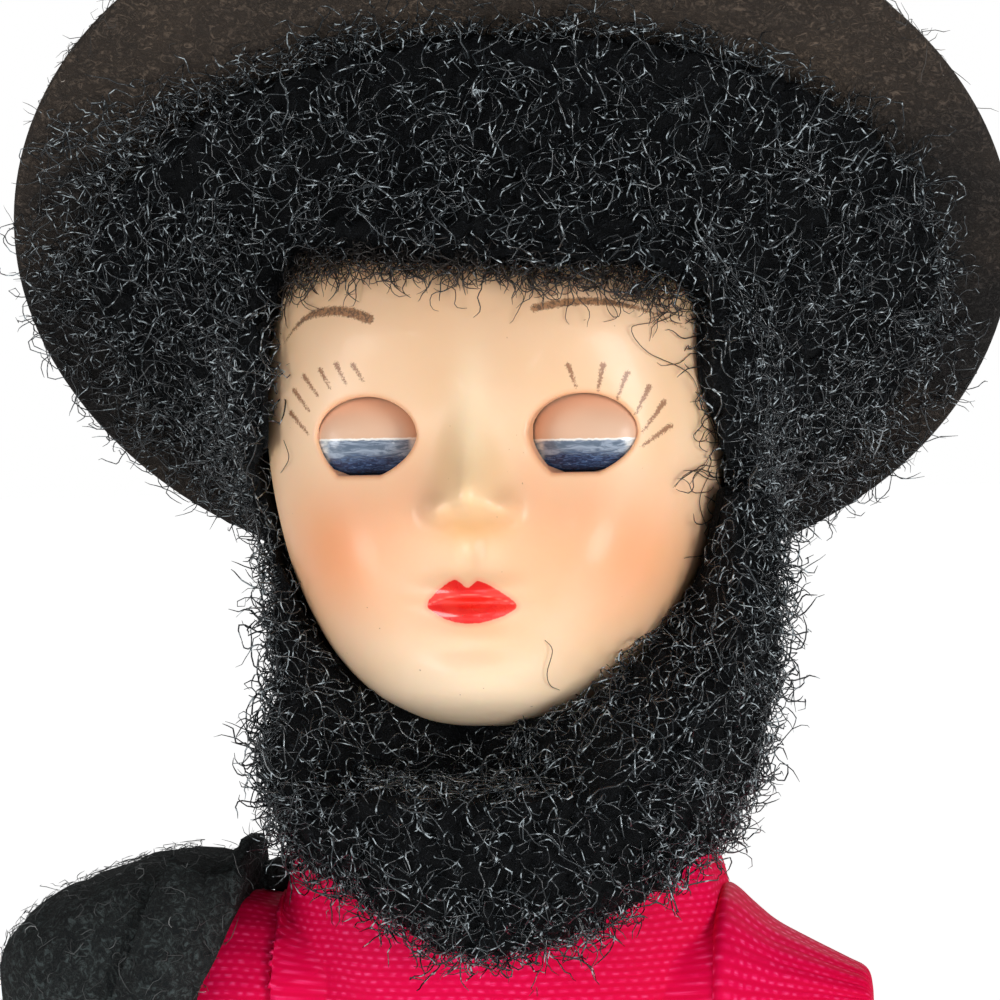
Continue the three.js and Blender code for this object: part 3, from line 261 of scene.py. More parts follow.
def settle(piece, voxel=None, relax=0):
    """Applies a piece's modifiers, after an even remesh and a few rounds of smoothing if asked."""
    if voxel:
        even = piece.modifiers.new("even", "REMESH")
        even.mode = "VOXEL"
        even.voxel_size = voxel * MM
        even.use_smooth_shade = True
    if relax:
        soft = piece.modifiers.new("soft", "SMOOTH")
        soft.iterations = relax
        soft.factor = 0.5
    bpy.context.view_layer.update()
    seen = piece.evaluated_get(bpy.context.evaluated_depsgraph_get())
    mesh = bpy.data.meshes.new_from_object(seen)
    piece.modifiers.clear()
    piece.data = mesh
    return piece


def vertices_of(mesh):
    """A mesh's points in millimetres from the neck's axis, and their outward directions."""
    points = np.empty(len(mesh.vertices) * 3)
    normals = np.empty(len(mesh.vertices) * 3)
    mesh.vertices.foreach_get("co", points)
    mesh.vertices.foreach_get("normal", normals)
    return points.reshape(-1, 3) / MM + (0, STAND_CENTRE_Y, 0), normals.reshape(-1, 3)


def move_points(piece, points):
    """Puts a piece's points at new places."""
    piece.data.vertices.foreach_set("co", to_row(points).astype(np.float32).ravel())
    piece.data.update()
    return piece


def push(piece, amount):
    """Moves every point outwards by an amount worked out from its place."""
    points, normals = vertices_of(piece.data)
    return move_points(piece, points + normals * amount(points)[:, None])


# Shader arithmetic


class Value:
    """A number that a material works out, with the arithmetic that is written in expressions."""

    def __init__(self, finish, socket):
        self.finish, self.socket = finish, socket

    def _sum(self, operation, a, b=0.0):
        return self.finish.node("Math", {"operation": operation}, {0: a, 1: b})

    def __add__(self, other):
        return self._sum("ADD", self, other)

    __radd__ = __add__

    def __mul__(self, other):
        return self._sum("MULTIPLY", self, other)

    __rmul__ = __mul__

    def __sub__(self, other):
        return self._sum("SUBTRACT", self, other)

    def __rsub__(self, other):
        return self._sum("SUBTRACT", other, self)

    def __truediv__(self, other):
        return self._sum("DIVIDE", self, other)

    def fraction(self):
        return self._sum("FRACT", self)

    def size(self):
        return self._sum("ABSOLUTE", self)

    def sine(self):
        return self._sum("SINE", self)

    def most(self, other):
        return self._sum("MAXIMUM", self, other)

    def step(self, low, high):
        """0 below low, 1 above high, smooth between."""
        return self.finish.node("MapRange", {"interpolation_type": "SMOOTHSTEP"},
                                {"Value": self, "From Min": low, "From Max": high})


class Finish:
    """A material in the making. Constants are set straight on the shader's own sockets."""

    def __init__(self, name, **constants):
        self.material = bpy.data.materials.new(name)
        self.material.use_nodes = True
        self.tree = self.material.node_tree
        self.shader = next(n for n in self.tree.nodes if n.type == "BSDF_PRINCIPLED")
        for key, value in constants.items():
            self.shader.inputs[key.replace("_", " ")].default_value = value

    def node(self, kind, settings=None, sockets=None, out=0):
        node = self.tree.nodes.new("ShaderNode" + kind)
        for key, value in (settings or {}).items():
            setattr(node, key, value)
        for key, value in (sockets or {}).items():
            self.feed(node.inputs[key], value)
        return Value(self, node.outputs[out])

    def feed(self, socket, value):
        if isinstance(value, Value):
            self.tree.links.new(value.socket, socket)
        elif isinstance(value, tuple) and len(value) == 3 and len(socket.default_value) == 4:
            socket.default_value = (*value, 1)
        else:
            socket.default_value = value

    def place(self):
        """The point on the object, in metres."""
        return self.node("TexCoord", out="Object")

    def cloth_map(self):
        return self.node("UVMap", {"uv_map": "cloth"})

    def mask(self, name):
        return self.node("Attribute", {"attribute_name": name}, out="Fac")

    def parts(self, vector):
        split = self.node("SeparateXYZ", sockets={0: vector})
        return [Value(self, split.socket.node.outputs[k]) for k in range(3)]

    def noise(self, per_mm, detail=3.0, rough=0.5, vector=None, warp=0.0):
        """Noise with about per_mm lumps in a millimetre."""
        return self.node("TexNoise", None, {"Vector": vector or self.place(), "Scale": per_mm / MM,
                                            "Detail": detail, "Roughness": rough, "Distortion": warp})

    def mix(self, a, b, share):
        """Colour a where share is 0 and b where it is 1."""
        return self.node("Mix", {"data_type": "RGBA"}, {"Factor": share, 6: a, 7: b}, out=2)

    def stretched(self, vector, x, y, z):
        return self.node("VectorMath", {"operation": "MULTIPLY"}, {0: vector, 1: (x, y, z)})

    def filaments(self, per_mm, thin, warp=1.5, vector=None):
        """Thin curved lines, where a warped noise passes its middle value."""
        field = self.noise(per_mm, 1.5, 0.5, vector=vector, warp=warp)
        return 1 - (field - 0.5).size().step(0.0, thin)

    def paint(self, **sockets):
        for key, value in sockets.items():
            self.feed(self.shader.inputs[key.replace("_", " ")], value)
        return self

    def relief(self, height, depth_mm, strength=1.0):
        """Small relief, from a height between 0 and 1 and its full depth in millimetres."""
        bump = self.node("Bump", None, {"Strength": strength, "Distance": depth_mm * MM, "Height": height})
        return self.paint(Normal=bump)


# The head's shape

HEAD_FORM = level_curve([
    (-1.0, 0.2, 0.55, 0.28), (-0.975, 0.34, 0.74, 0.33), (-0.9, 0.52, 0.91, 0.42),
    (-0.8, 0.66, 0.97, 0.54), (-0.66, 0.78, 1.0, 0.7), (-0.46, 0.89, 1.01, 0.86),
    (-0.22, 0.965, 1.01, 0.965), (0, 1.0, 1.0, 1.0), (0.2, 1.0, 1.0, 1.0), (0.44, 0.95, 0.97, 0.94),
    (0.66, 0.83, 0.86, 0.81), (0.85, 0.61, 0.65, 0.6), (0.96, 0.34, 0.37, 0.34), (1.0, 0.05, 0.05, 0.05),
])


def head_section(z, grow=0.0):
    """Half width, front depth and back depth of the plain head at a height."""
    drop = np.asarray(z, float) - EYE_LINE
    reach = np.where(drop > 0, HEAD_ABOVE + grow, HEAD_BELOW + grow)
    width, front, back = at_level(HEAD_FORM, np.clip(drop / reach, -1, 1))
    return width * (HEAD_HALF_WIDTH + grow), front * (HEAD_FRONT + grow), back * (HEAD_BACK + grow)


def face_relief(x, rise):
    """How far the moulded features stand out: a sum of smooth hills and dips over the front view."""
    side = np.abs(x)

    def hill(of, centre_x, centre_z, spread_x, spread_z, height):
        return height * np.exp(-(((of - centre_x) / spread_x) ** 2) - ((rise - centre_z) / spread_z) ** 2)

    tip = np.where(rise < -NOSE_DROP, 1.5, 2.2)
    return (
        hill(x, 0, -NOSE_DROP, 1.9, tip, NOSE_RISE * 0.78)
        + hill(x, 0, -NOSE_DROP / 3, 1.7, 3.0, NOSE_RISE * 0.38)
        + hill(side, 2.3, -NOSE_DROP - 0.9, 1.1, 1.1, 1.2)
        + hill(x, 0, -MOUTH_DROP + 1.0, MOUTH_HALF_WIDTH, 0.95, 0.75)
        + hill(x, 0, -MOUTH_DROP - 0.9, MOUTH_HALF_WIDTH * 0.85, 1.0, 0.85)
        + hill(x, 0, -MOUTH_DROP + 0.1, MOUTH_HALF_WIDTH * 0.95, 0.3, -0.4)
        + hill(x, 0, -MOUTH_DROP, MOUTH_HALF_WIDTH * 1.8, 3.4, 0.5)
        + hill(x, 0, -MOUTH_DROP - 3.0, 3.2, 1.1, -0.5)
        + hill(x, 0, -CHIN_DROP, 3.6, 2.6, 1.0)
        + hill(side, 8.6, -8.4, 4.6, 4.2, 0.75)
        + hill(side, EYE_OFFSET - 0.6, 0.4, 4.6, 4.0, -0.75)
        + hill(side, EYE_OFFSET, 7.4, 5.0, 2.6, 0.35)
        + hill(x, 0, -NOSE_DROP - 3.7, 0.55, 1.0, -0.22)
        + hill(side, 1.15, -NOSE_DROP - 3.7, 0.6, 1.2, 0.12)
    )


def face_y(x, z):
    """Depth of the moulded face at a place in the front view."""
    width, front, _ = head_section(z)
    share = np.clip(np.abs(x) / width, 0, 1)
    y = -front * (1 - share**HEAD_POWER) ** (1 / HEAD_POWER)
    return y - face_relief(x, z - EYE_LINE) * smoothstep(-y / front, 0.1, 0.6)


def face_under(pixels):
    """x and z of the face under pixels of the photograph: each camera ray, moved on to the face."""
    right, up, forward = camera_axes()
    eye = camera_place()
    spot = np.atleast_2d(np.asarray(pixels, float)) - FRAME_PIXELS / 2
    ray = forward + (spot[:, :1] * right - spot[:, 1:] * up) / FOCAL_PIXELS
    depth = np.full(len(spot), -HEAD_FRONT)
    for _ in range(12):
        hit = eye + ray * ((depth - eye[1]) / ray[:, 1])[:, None]
        depth = face_y(hit[:, 0], hit[:, 2])
    return hit[:, 0], hit[:, 2]


def eye_outline():
    """The opening's outline about its own centre: a half ellipse over two bowed sides that run down to
    a flat bottom a little to one side."""
    t = np.linspace(0, np.pi, 120)
    upper = np.stack([-EYE_HOLE_HALF * np.cos(t), EYE_HOLE_UP * np.sin(t)], -1)
    s = np.linspace(0, 1, 40)[1:, None]

    def bowed(side):
        corner = np.array([side * EYE_HOLE_HALF, 0.0])
        low = np.array([EYE_LOW_SHIFT + side * EYE_LOW_HALF, -EYE_HOLE_DOWN])
        pull = np.array([side * EYE_HOLE_HALF * 0.9, -EYE_HOLE_DOWN * 0.61])
        return corner * (1 - s) ** 2 + pull * 2 * s * (1 - s) + low * s**2

    right, left = bowed(1), bowed(-1)
    flat = np.linspace(right[-1], left[-1], 30)[1:-1]
    return np.vstack([upper, right, flat, left[::-1]])


EYE_OUTLINE = eye_outline()


def eye_distance(x, z):
    """Signed distance from an eye opening's edge, less than 0 inside, and the nearest edge point."""
    spots = np.stack([x, z], -1)
    nearest = np.empty(len(x), int)
    for start in range(0, len(x), 4000):
        part = spots[start:start + 4000]
        gap = ((part[:, None, :] - EYE_OUTLINE[None]) ** 2).sum(-1)
        nearest[start:start + 4000] = gap.argmin(1)
    edge = EYE_OUTLINE[nearest]
    away = np.hypot(*(spots - edge).T)
    return np.where(inside_line(x, z, EYE_OUTLINE), -away, away), edge


# Painted features and the edge of the hair, as pixels of the photograph

BROWS = [
    ([(369, 319), (352, 313), (332, 311), (311, 315), (296, 327), (284, 344)], 0.42),
    ([(534, 308), (560, 303), (590, 301), (625, 305), (655, 314), (688, 330)], 0.34),
]
LASHES = [
    ((568, 365), (576, 387)), ((603, 365), (598, 390)), ((627, 373), (617, 399)),
    ((649, 387), (636, 414)), ((664, 402), (643, 432)), ((670, 426), (641, 447)),
    ((353, 365), (363, 381)), ((336, 364), (346, 384)), ((320, 370), (330, 388)),
    ((304, 376), (318, 396)), ((294, 390), (309, 411)), ((291, 413), (308, 434)),
]
LIP_EDGE = [(427, 605), (436, 592), (453, 580), (461, 583), (468, 588), (474, 583), (480, 581), (498, 590),
            (517, 605), (506, 615), (490, 621), (470, 624), (450, 621), (436, 614)]
LIP_PARTING = [(427, 605), (445, 598), (470, 595), (495, 598), (517, 605)]
FACE_EDGE = [(279, 310), (286, 262), (400, 261), (500, 272), (600, 286), (686, 294), (697, 378), (724, 465),
             (712, 540), (675, 610), (600, 670), (530, 716), (460, 731), (385, 701), (325, 642), (291, 550),
             (280, 430)]
JAW_BAND, FRINGE_BAND = 1.015, 0.93
EDGE_DEPTH, EDGE_WALL, EDGE_SLOPE, EDGE_WINDOW = -7.0, 0.3, 0.9, 300


def in_photo(points):
    """Pixels of the photograph where points are seen, and their distances along the camera's view."""
    right, up, forward = camera_axes()
    away = np.asarray(points, float) - camera_place()
    depth = away @ forward
    spots = np.stack([away @ right, -(away @ up)], -1) * (FOCAL_PIXELS / depth)[:, None]
    return spots + FRAME_PIXELS / 2, depth


def stroke_distance(x, z, line):
    """Distance to a line of points in the front view, and the share of the way along it."""
    line = np.asarray(line, float)
    best = np.full(len(x), 1e9)
    along = np.zeros(len(x))
    count = len(line) - 1
    for k in range(count):
        a, b = line[k], line[k + 1]
        way = b - a
        t = np.clip(((x - a[0]) * way[0] + (z - a[1]) * way[1]) / max(way @ way, 1e-9), 0, 1)
        gap = np.hypot(x - a[0] - t * way[0], z - a[1] - t * way[1])
        nearer = gap < best
        best = np.where(nearer, gap, best)
        along = np.where(nearer, (k + t) / count, along)
    return best, along


def smooth_line(points, steps=8, closed=False):
    """A line through points, rounded by cubic pieces."""
    points = np.asarray(points, float)
    if closed:
        points = np.vstack([points[-1:], points, points[:2]])
    index = np.arange(len(points))[:, None]
    curve = level_curve(np.hstack([index, points]))
    where = np.linspace(1 if closed else 0, len(points) - (2 if closed else 1), len(points) * steps)
    return np.stack(at_level(curve, where), -1)


def inside_line(x, z, line):
    """True inside a closed line: counts the crossings of a level ray."""
    inside = np.zeros(len(x), bool)
    for (x0, z0), (x1, z1) in zip(line, np.roll(line, -1, 0)):
        crosses = (z0 > z) != (z1 > z)
        reach = x0 + (z - z0) * (x1 - x0) / np.where(z1 == z0, 1e-9, z1 - z0)
        inside ^= crosses & (x < reach)
    return inside


def on_face(pixels):
    return np.stack(face_under(pixels), -1)


def spread(x, z, centre, half_width, half_height):
    """A soft round patch, 1 at its centre."""
    return np.exp(-(((x - centre[0]) / half_width) ** 2) - ((z - centre[1]) / half_height) ** 2)


def ball_radius(along):
    """The eyeball's radius about its axle at a place along it: fuller at the sides than a sphere."""
    share = np.clip(np.abs(along) / EYE_BALL_RADIUS, 0, 1)
    return EYE_BALL_RADIUS * (1 - share**EYE_BARREL) ** (1 / EYE_BARREL)


def face_masks(x, z, rim):
    """The painted brows, lashes and lips as distances inside their edges, and soft patches: blushes, a golden
    nose, painted shade on the forehead, under the eyes, beside the nose and under it, a painted highlight on
    the nose's bridge and painted light on the chin.
    """
    near = np.full(len(x), -FAR)
    masks = {"brow": near.copy(), "lash": near.copy(), "lip": near.copy(), "parting": near.copy() + 2 * FAR}
    for line, half in BROWS:
        gap, along = stroke_distance(x, z, smooth_line(on_face(line)))
        taper = half * (1 - 0.75 * smoothstep(along, 0.35, 1.0))
        masks["brow"] = np.maximum(masks["brow"], taper - gap)
    for top, root in LASHES:
        gap, along = stroke_distance(x, z, on_face([top, root]))
        masks["lash"] = np.maximum(masks["lash"], 0.27 - 0.10 * along - gap)
    edge = smooth_line(on_face(LIP_EDGE), closed=True)
    gap, _ = stroke_distance(x, z, np.vstack([edge, edge[:1]]))
    masks["lip"] = np.where(inside_line(x, z, edge), gap, -gap)
    masks["parting"], _ = stroke_distance(x, z, smooth_line(on_face(LIP_PARTING)))
    side = np.abs(x)
    # Blushes on the cheeks and round the mouth; the second patch, beside the nose under the eyes' inner
    # corners, is painted shade.
    masks["blush"] = np.clip(
        0.95 * spread(side, z, (9.8, EYE_LINE - 8.2), 5.0, 5.0)
        + 0.3 * spread(side, z, (EYE_OFFSET - 3.4, EYE_LINE - 3.6), 1.9, 4.0)
        + 0.4 * spread(x, z, (0, EYE_LINE - MOUTH_DROP + 0.2), 4.6, 2.2), 0, 1)
    masks["gold"] = 0.6 * spread(x, z, (0, EYE_LINE - 3.6), 2.4, 4.8)
    # Painted highlight: paler along the nose's bridge.
    masks["ridge"] = spread(x, z, (0.1, EYE_LINE + 0.6), 1.3, 4.6)
    # Painted shade: darker and oranger under the nose.
    masks["under_nose"] = spread(x, z, (0, EYE_LINE - 6.5), 2.9, 1.0)
    # Painted light: the chin lighter and paler.
    masks["chin"] = spread(x, z, (0, EYE_LINE - 19.2), 11.0, 4.0)
    masks["shade"] = np.clip(
        spread(x, z, (0, EYE_LINE + 8.5), 16, 7.5)
        + 0.6 * spread(side, z, (6.5, EYE_LINE - 5.0), 3.5, 2.0), 0, 1)
    masks["rim"] = rim
    return masks


# The head's pieces

FACE_HALF_TURN = 2.15
FACE_COLUMNS = 320
RIM_RADIUS, RIM_DEPTH = 0.28, 1.3


def face_rows():
    """Heights of the face's rows, closest together from the chin to the brows."""
    return np.concatenate([
        np.linspace(EYE_LINE - HEAD_BELOW, EYE_LINE - 18, 20),
        np.linspace(EYE_LINE - 17.84, EYE_LINE + 12.4, 180),
        np.linspace(EYE_LINE + 12.8, EYE_LINE + HEAD_ABOVE, 18)])


def head_points(turn, rows, crowd):
    """The moulded head at angles and heights: plain rounded sections with the features in front."""
    angle = (turn - crowd * np.sin(turn))[None, :]
    z = rows[:, None]
    width, front, back = head_section(z)
    x, y = oval(angle, width, front, back, HEAD_POWER)
    y = y - face_relief(x, z - EYE_LINE) * smoothstep(-y / front, 0.1, 0.6)
    return np.stack(np.broadcast_arrays(x, y, z), -1)


def make_face():
    """The face plate with rolled edges round its eye openings. Near an opening, a point is moved so
    that the grid turns over the edge in a quarter round and runs on in, almost to the eyeball."""
    turn = np.linspace(-FACE_HALF_TURN, FACE_HALF_TURN, FACE_COLUMNS)
    rows = face_rows()
    grid = head_points(turn, rows, FACE_CROWD)
    points = grid.reshape(-1, 3).copy()
    rim = np.full(len(points), FAR)
    keep = np.ones(len(points), bool)
    quarter = RIM_RADIUS * np.pi / 2
    for side in (-1, 1):
        x, z = points[:, 0] - side * EYE_OFFSET, points[:, 2] - EYE_LINE
        close = np.flatnonzero((np.abs(x) < 6.5) & (np.abs(z) < 6) & (points[:, 1] < -6))
        gap, edge = eye_distance(x[close], z[close])
        rim[close] = gap
        run = RIM_RADIUS - gap
        over = (run > 0) & (run < quarter + RIM_DEPTH + 0.25)
        keep[close[run >= quarter + RIM_DEPTH]] = False
        bend = np.clip(run / RIM_RADIUS, 0, np.pi / 2)
        from_edge = RIM_RADIUS * (1 - np.sin(bend))
        rolled = RIM_RADIUS * (1 - np.cos(bend))
        share = np.clip(run - quarter, 0, RIM_DEPTH) / RIM_DEPTH
        way = np.stack([x[close], z[close]], -1) - edge
        way *= (np.sign(gap) / np.maximum(np.abs(gap), 1e-6))[:, None]
        moved = edge + way * from_edge[:, None]
        chosen = close[over]
        points[chosen, 0] = moved[over, 0] + side * EYE_OFFSET
        points[chosen, 2] = moved[over, 1] + EYE_LINE
        front = face_y(points[chosen, 0], points[chosen, 2])
        across, up = moved[over].T
        ball = EYE_CENTRE_Y - np.sqrt(np.maximum(ball_radius(across) ** 2 - up**2, 0))
        wall = np.maximum(ball - EYE_GAP - front - RIM_RADIUS, 0.1)
        points[chosen, 1] = front + rolled[over] + wall * share[over]
    quads = kept_faces(len(rows), FACE_COLUMNS, keep)
    used = np.unique(quads)
    renumber = np.zeros(len(points), int)
    renumber[used] = np.arange(len(used))
    points, rim = points[used], rim[used]
    masks = face_masks(points[:, 0], points[:, 2], rim)
    return put_mesh("face", points, renumber[quads], masks=masks)


def make_head_back():
    """The back of the head from the seam round, closed in under the skull."""
    half = FACE_HALF_TURN - FACE_CROWD * math.sin(FACE_HALF_TURN)
    turn = np.linspace(half, 2 * np.pi - half, 90)
    rows = np.linspace(EYE_LINE - HEAD_BELOW, EYE_LINE + HEAD_ABOVE, 80)
    back = head_points(turn, rows, 0.0)
    return put_mesh("head_back", back.reshape(-1, 3), grid_faces(len(rows), len(turn)))


def make_neck():
    """The neck plug: a ball turned about the neck's axis, then a straight neck up into the head."""
    bend = np.linspace(-np.pi / 2 + POLE, 0, 26)
    straight = np.linspace(NECK_BALL_Z + 0.4, 160, 12)
    radius = np.concatenate([NECK_RADIUS * np.cos(bend), np.full(len(straight), NECK_RADIUS)])[:, None]
    height = np.concatenate([NECK_BALL_Z + NECK_RADIUS * np.sin(bend), straight])[:, None]
    angle = round_angles(64)
    rings = np.stack([radius * np.sin(angle), -radius * np.cos(angle), height + 0 * angle], -1)
    return put_mesh("neck", *loft(rings))


def make_eye(name, side):
    """An eyeball: rings about its axle, whose poles are at its sides."""
    along = -EYE_BALL_RADIUS * np.cos(np.linspace(POLE, np.pi - POLE, 60))
    angle = round_angles(110)
    radius = ball_radius(along)[:, None]
    rings = np.stack([(side * EYE_OFFSET + along)[:, None] + 0 * angle,
                      EYE_CENTRE_Y - radius * np.cos(angle), EYE_LINE - radius * np.sin(angle)], -1)
    return put_mesh(name, *loft(rings))


# The hat


def hat_turn():
    """The hat's own axes on the head: tilted back about X, then leaned about Y."""
    tilt, lean = math.radians(-HAT_TILT), math.radians(-HAT_LEAN)
    about_x = np.array([[1, 0, 0], [0, math.cos(tilt), -math.sin(tilt)], [0, math.sin(tilt), math.cos(tilt)]])
    about_y = np.array([[math.cos(lean), 0, math.sin(lean)], [0, 1, 0], [-math.sin(lean), 0, math.cos(lean)]])
    return about_y @ about_x


HAT_COLUMNS = 200
HAT_AXES = hat_turn()
HAT_PLACE = np.array([0, HAT_CENTRE_Y, HAT_CENTRE_Z])
BRIM_UNDER = np.array([(CROWN_RADIUS - FELT_THICKNESS, 0), (CROWN_RADIUS + 8, -0.1),
                       (BRIM_RADIUS - 5, -BRIM_DROOP * 0.55), (BRIM_RADIUS - 0.3, -BRIM_DROOP)])


def brim_under(radius):
    """Height of the brim's underside in the hat's own axes."""
    return np.interp(radius, BRIM_UNDER[:, 0], BRIM_UNDER[:, 1])


def on_head(points):
    return np.asarray(points) @ HAT_AXES.T + HAT_PLACE


def in_hat(points):
    return (np.asarray(points) - HAT_PLACE) @ HAT_AXES


def turned(profile, wave=None):
    """A profile of radius and height turned about the hat's axis, with a wave added to its height."""
    angle = round_angles(HAT_COLUMNS)
    radius, height = profile[:, :1], profile[:, 1:]
    lift = 0 if wave is None else wave(radius, angle)
    return np.stack([radius * np.cos(angle), radius * np.sin(angle), height + lift + 0 * angle], -1)


def brim_wave(radius, angle):
    """A slow up and down round the brim that grows towards its edge."""
    out = np.clip((radius - CROWN_RADIUS - 4) / (BRIM_RADIUS - CROWN_RADIUS - 4), 0, 1)
    return out * (0.3 * np.sin(2 * angle + 0.6) + 0.16 * np.sin(3 * angle + 2.0) + 0.07 * np.sin(7 * angle))


def closed_turn(name, rings):
    """A ring-shaped piece: the last ring joins the first."""
    rings = rings[::-1]
    rows, columns = rings.shape[:2]
    points = on_head(rings.reshape(-1, 3))
    looped = np.vstack([grid_faces(rows, columns, wrap=True), closing_faces(rows, columns)])
    return put_mesh(name, points, looped)


def closing_faces(rows, columns):
    """Quads from the last row of a wrapped grid back to its first."""
    c = np.arange(columns)
    n = (c + 1) % columns
    last = (rows - 1) * columns
    return np.stack([last + c, last + n, n, c], -1)


def make_brim():
    """The brim: its underside, a rounded edge and its top, closed at the crown."""
    t = FELT_THICKNESS
    radius = np.linspace(CROWN_RADIUS - t, BRIM_RADIUS - 0.5, 44)
    under = brim_under(radius)
    bend = np.linspace(-np.pi / 2, np.pi / 2, 9)[1:-1]
    edge = np.stack([BRIM_RADIUS - 0.5 + 0.5 * np.cos(bend), under[-1] + t / 2 + t / 2 * np.sin(bend)], -1)
    profile = np.vstack([np.stack([radius, under], -1), edge, np.stack([radius, under + t], -1)[::-1]])
    return closed_turn("brim", turned(profile, brim_wave))


def make_crown():
    """The blocked crown: an upright wall, a rounded shoulder and a top that dips in the middle."""
    rise = FELT_THICKNESS + 0.15
    top = rise + CROWN_HEIGHT
    bend = np.linspace(0, np.pi / 2, 16)
    wall = [(CROWN_RADIUS, rise), (CROWN_RADIUS - 0.05, rise + 4), (CROWN_RADIUS - 0.3, rise + 8)]
    shoulder = np.stack([CROWN_RADIUS - 3.6 + 3.1 * np.cos(bend), top - 3.1 + 3.1 * np.sin(bend)], -1)
    flat = np.linspace(CROWN_RADIUS - 4.4, 0.05, 34)
    lid = np.stack([flat, top - 0.5 * smoothstep(flat, CROWN_RADIUS - 4, 3)], -1)
    rings = turned(np.vstack([np.stack(along_levels(wall, 20), -1), shoulder, lid]))
    rings[..., 2] += 0.16 * wobble(rings, 12, 31) * (rings[..., 2] > top - 4)
    points = np.vstack([rings.reshape(-1, 3), [[0, 0, rings[-1, :, 2].mean()]]])
    faces = grid_faces(len(rings), HAT_COLUMNS, wrap=True)
    c = np.arange(HAT_COLUMNS)
    last = (len(rings) - 1) * HAT_COLUMNS
    middle = np.full(HAT_COLUMNS, len(points) - 1)
    fan = np.stack([last + c, last + (c + 1) % HAT_COLUMNS, middle], -1)
    crown = put_mesh("crown", on_head(points), [faces, fan])
    return settle(thicken(crown, FELT_THICKNESS))


def make_band():
    """The ribbon round the crown: a plain closed band with a slight wave in it."""
    low = FELT_THICKNESS + 0.45
    inner, outer = CROWN_RADIUS + 0.12, CROWN_RADIUS + 0.12 + BAND_THICKNESS
    z = np.linspace(low, low + BAND_WIDTH, 12)
    profile = np.vstack([np.stack([inner + 0 * z, z], -1), np.stack([outer + 0 * z, z[::-1]], -1)])
    rings = turned(profile, lambda r, a: 0.05 * np.sin(5 * a))
    return closed_turn("band", rings[::-1])


# Curled fibres


def triangles_of(mesh):
    """Corners, areas and outward directions of a mesh's triangles, in millimetres."""
    mesh.calc_loop_triangles()
    points, _ = vertices_of(mesh)
    index = np.empty(len(mesh.loop_triangles) * 3, int)
    mesh.loop_triangles.foreach_get("vertices", index)
    corners = points[index.reshape(-1, 3)]
    cross = np.cross(corners[:, 1] - corners[:, 0], corners[:, 2] - corners[:, 0])
    area = np.linalg.norm(cross, axis=1) / 2
    return corners, area, cross / np.maximum(2 * area, 1e-9)[:, None]


def scatter(mesh, count, rng, chosen=None):
    """Random points over a mesh, as many for each square millimetre of the parts that are chosen."""
    corners, area, normal = triangles_of(mesh)
    take = rng.choice(len(area), count * 6, p=area / area.sum())
    a, b = rng.random((2, len(take), 1))
    flip = (a + b) > 1
    a, b = np.where(flip, 1 - a, a), np.where(flip, 1 - b, b)
    first, second, third = (corners[take, k] for k in range(3))
    points = first + a * (second - first) + b * (third - first)
    normals = normal[take]
    if chosen is not None:
        good = chosen(points, normals)
        points, normals = points[good], normals[good]
    return points[:count], normals[:count]


def drift(rng, count, steps, smooth):
    """Random numbers that change slowly from step to step, with a spread of 1."""
    raw = rng.normal(size=(count, steps + smooth * 2))
    total = np.cumsum(raw, axis=1)
    run = total[:, smooth:] - total[:, :-smooth]
    return run[:, :steps] / math.sqrt(smooth)


def curled(rng, roots, normals, length, steps, curl, lift, height, sink=0.15):
    """Lines that start on a surface and wander over it: the heading turns by a slowly changing
    amount at each step, and the height above the surface swings between 0 and height. Length, lift
    and height hold a number for each line."""
    count = len(roots)
    aim = rng.normal(size=(count, 3))
    along = aim - (aim * normals).sum(1)[:, None] * normals
    along /= np.maximum(np.linalg.norm(along, axis=1), 1e-6)[:, None]
    across = np.cross(normals, along)
    step = length[:, None] / steps
    turn = np.cumsum(drift(rng, count, steps, 3) * step / curl, axis=1)
    climb = lift[:, None] * np.exp(-np.arange(steps) / (steps * 0.4))
    pitch = climb + 0.75 * drift(rng, count, steps, 3)
    x = np.cumsum(np.cos(turn) * np.cos(pitch) * step, axis=1)
    y = np.cumsum(np.sin(turn) * np.cos(pitch) * step, axis=1)
    up = np.cumsum(np.sin(pitch) * step, axis=1)
    up = height[:, None] * np.tanh(np.abs(up) / height[:, None])
    flat = np.zeros((count, 1))
    x, y, up = np.hstack([flat, x]), np.hstack([flat, y]), np.hstack([flat, up]) - sink
    return (roots[:, None] + x[..., None] * along[:, None] + y[..., None] * across[:, None]
            + up[..., None] * normals[:, None])


def fibres(name, paths, radius, rng, tip=0.35, tones=None):
    """Three-sided closed tubes along lines, thinner at their tips, each with its own tone."""
    count, rings = paths.shape[:2]
    way = np.gradient(paths, axis=1)
    way /= np.maximum(np.linalg.norm(way, axis=2), 1e-9)[..., None]
    guide = rng.normal(size=(count, 1, 3))
    out = np.cross(way, guide)
    out /= np.maximum(np.linalg.norm(out, axis=2), 1e-9)[..., None]
    side = np.cross(way, out)
    s = np.linspace(0, 1, rings)
    width = (radius if np.ndim(radius) else np.full(count, radius))[:, None] * (
        1 - (1 - tip) * np.abs(2 * s - 1) ** 3)[None]
    corner = np.arange(3) * 2 * np.pi / 3
    points = (paths[:, :, None] + width[:, :, None, None] * (
        np.cos(corner)[None, None, :, None] * out[:, :, None]
        + np.sin(corner)[None, None, :, None] * side[:, :, None]))
    one = grid_faces(rings, 3, wrap=True)
    start = (np.arange(count) * rings * 3)[:, None, None]
    quads = (one[None] + start).reshape(-1, 4)
    last = (rings - 1) * 3
    caps = np.array([[0, 2, 1], [last, last + 1, last + 2]])
    caps = (caps[None] + start).reshape(-1, 3)
    tone = rng.random(count) if tones is None else tones
    return put_mesh(name, points.reshape(-1, 3), [quads, caps], masks={"tone": np.repeat(tone, rings * 3)})


MOST_TRIANGLES = 190000


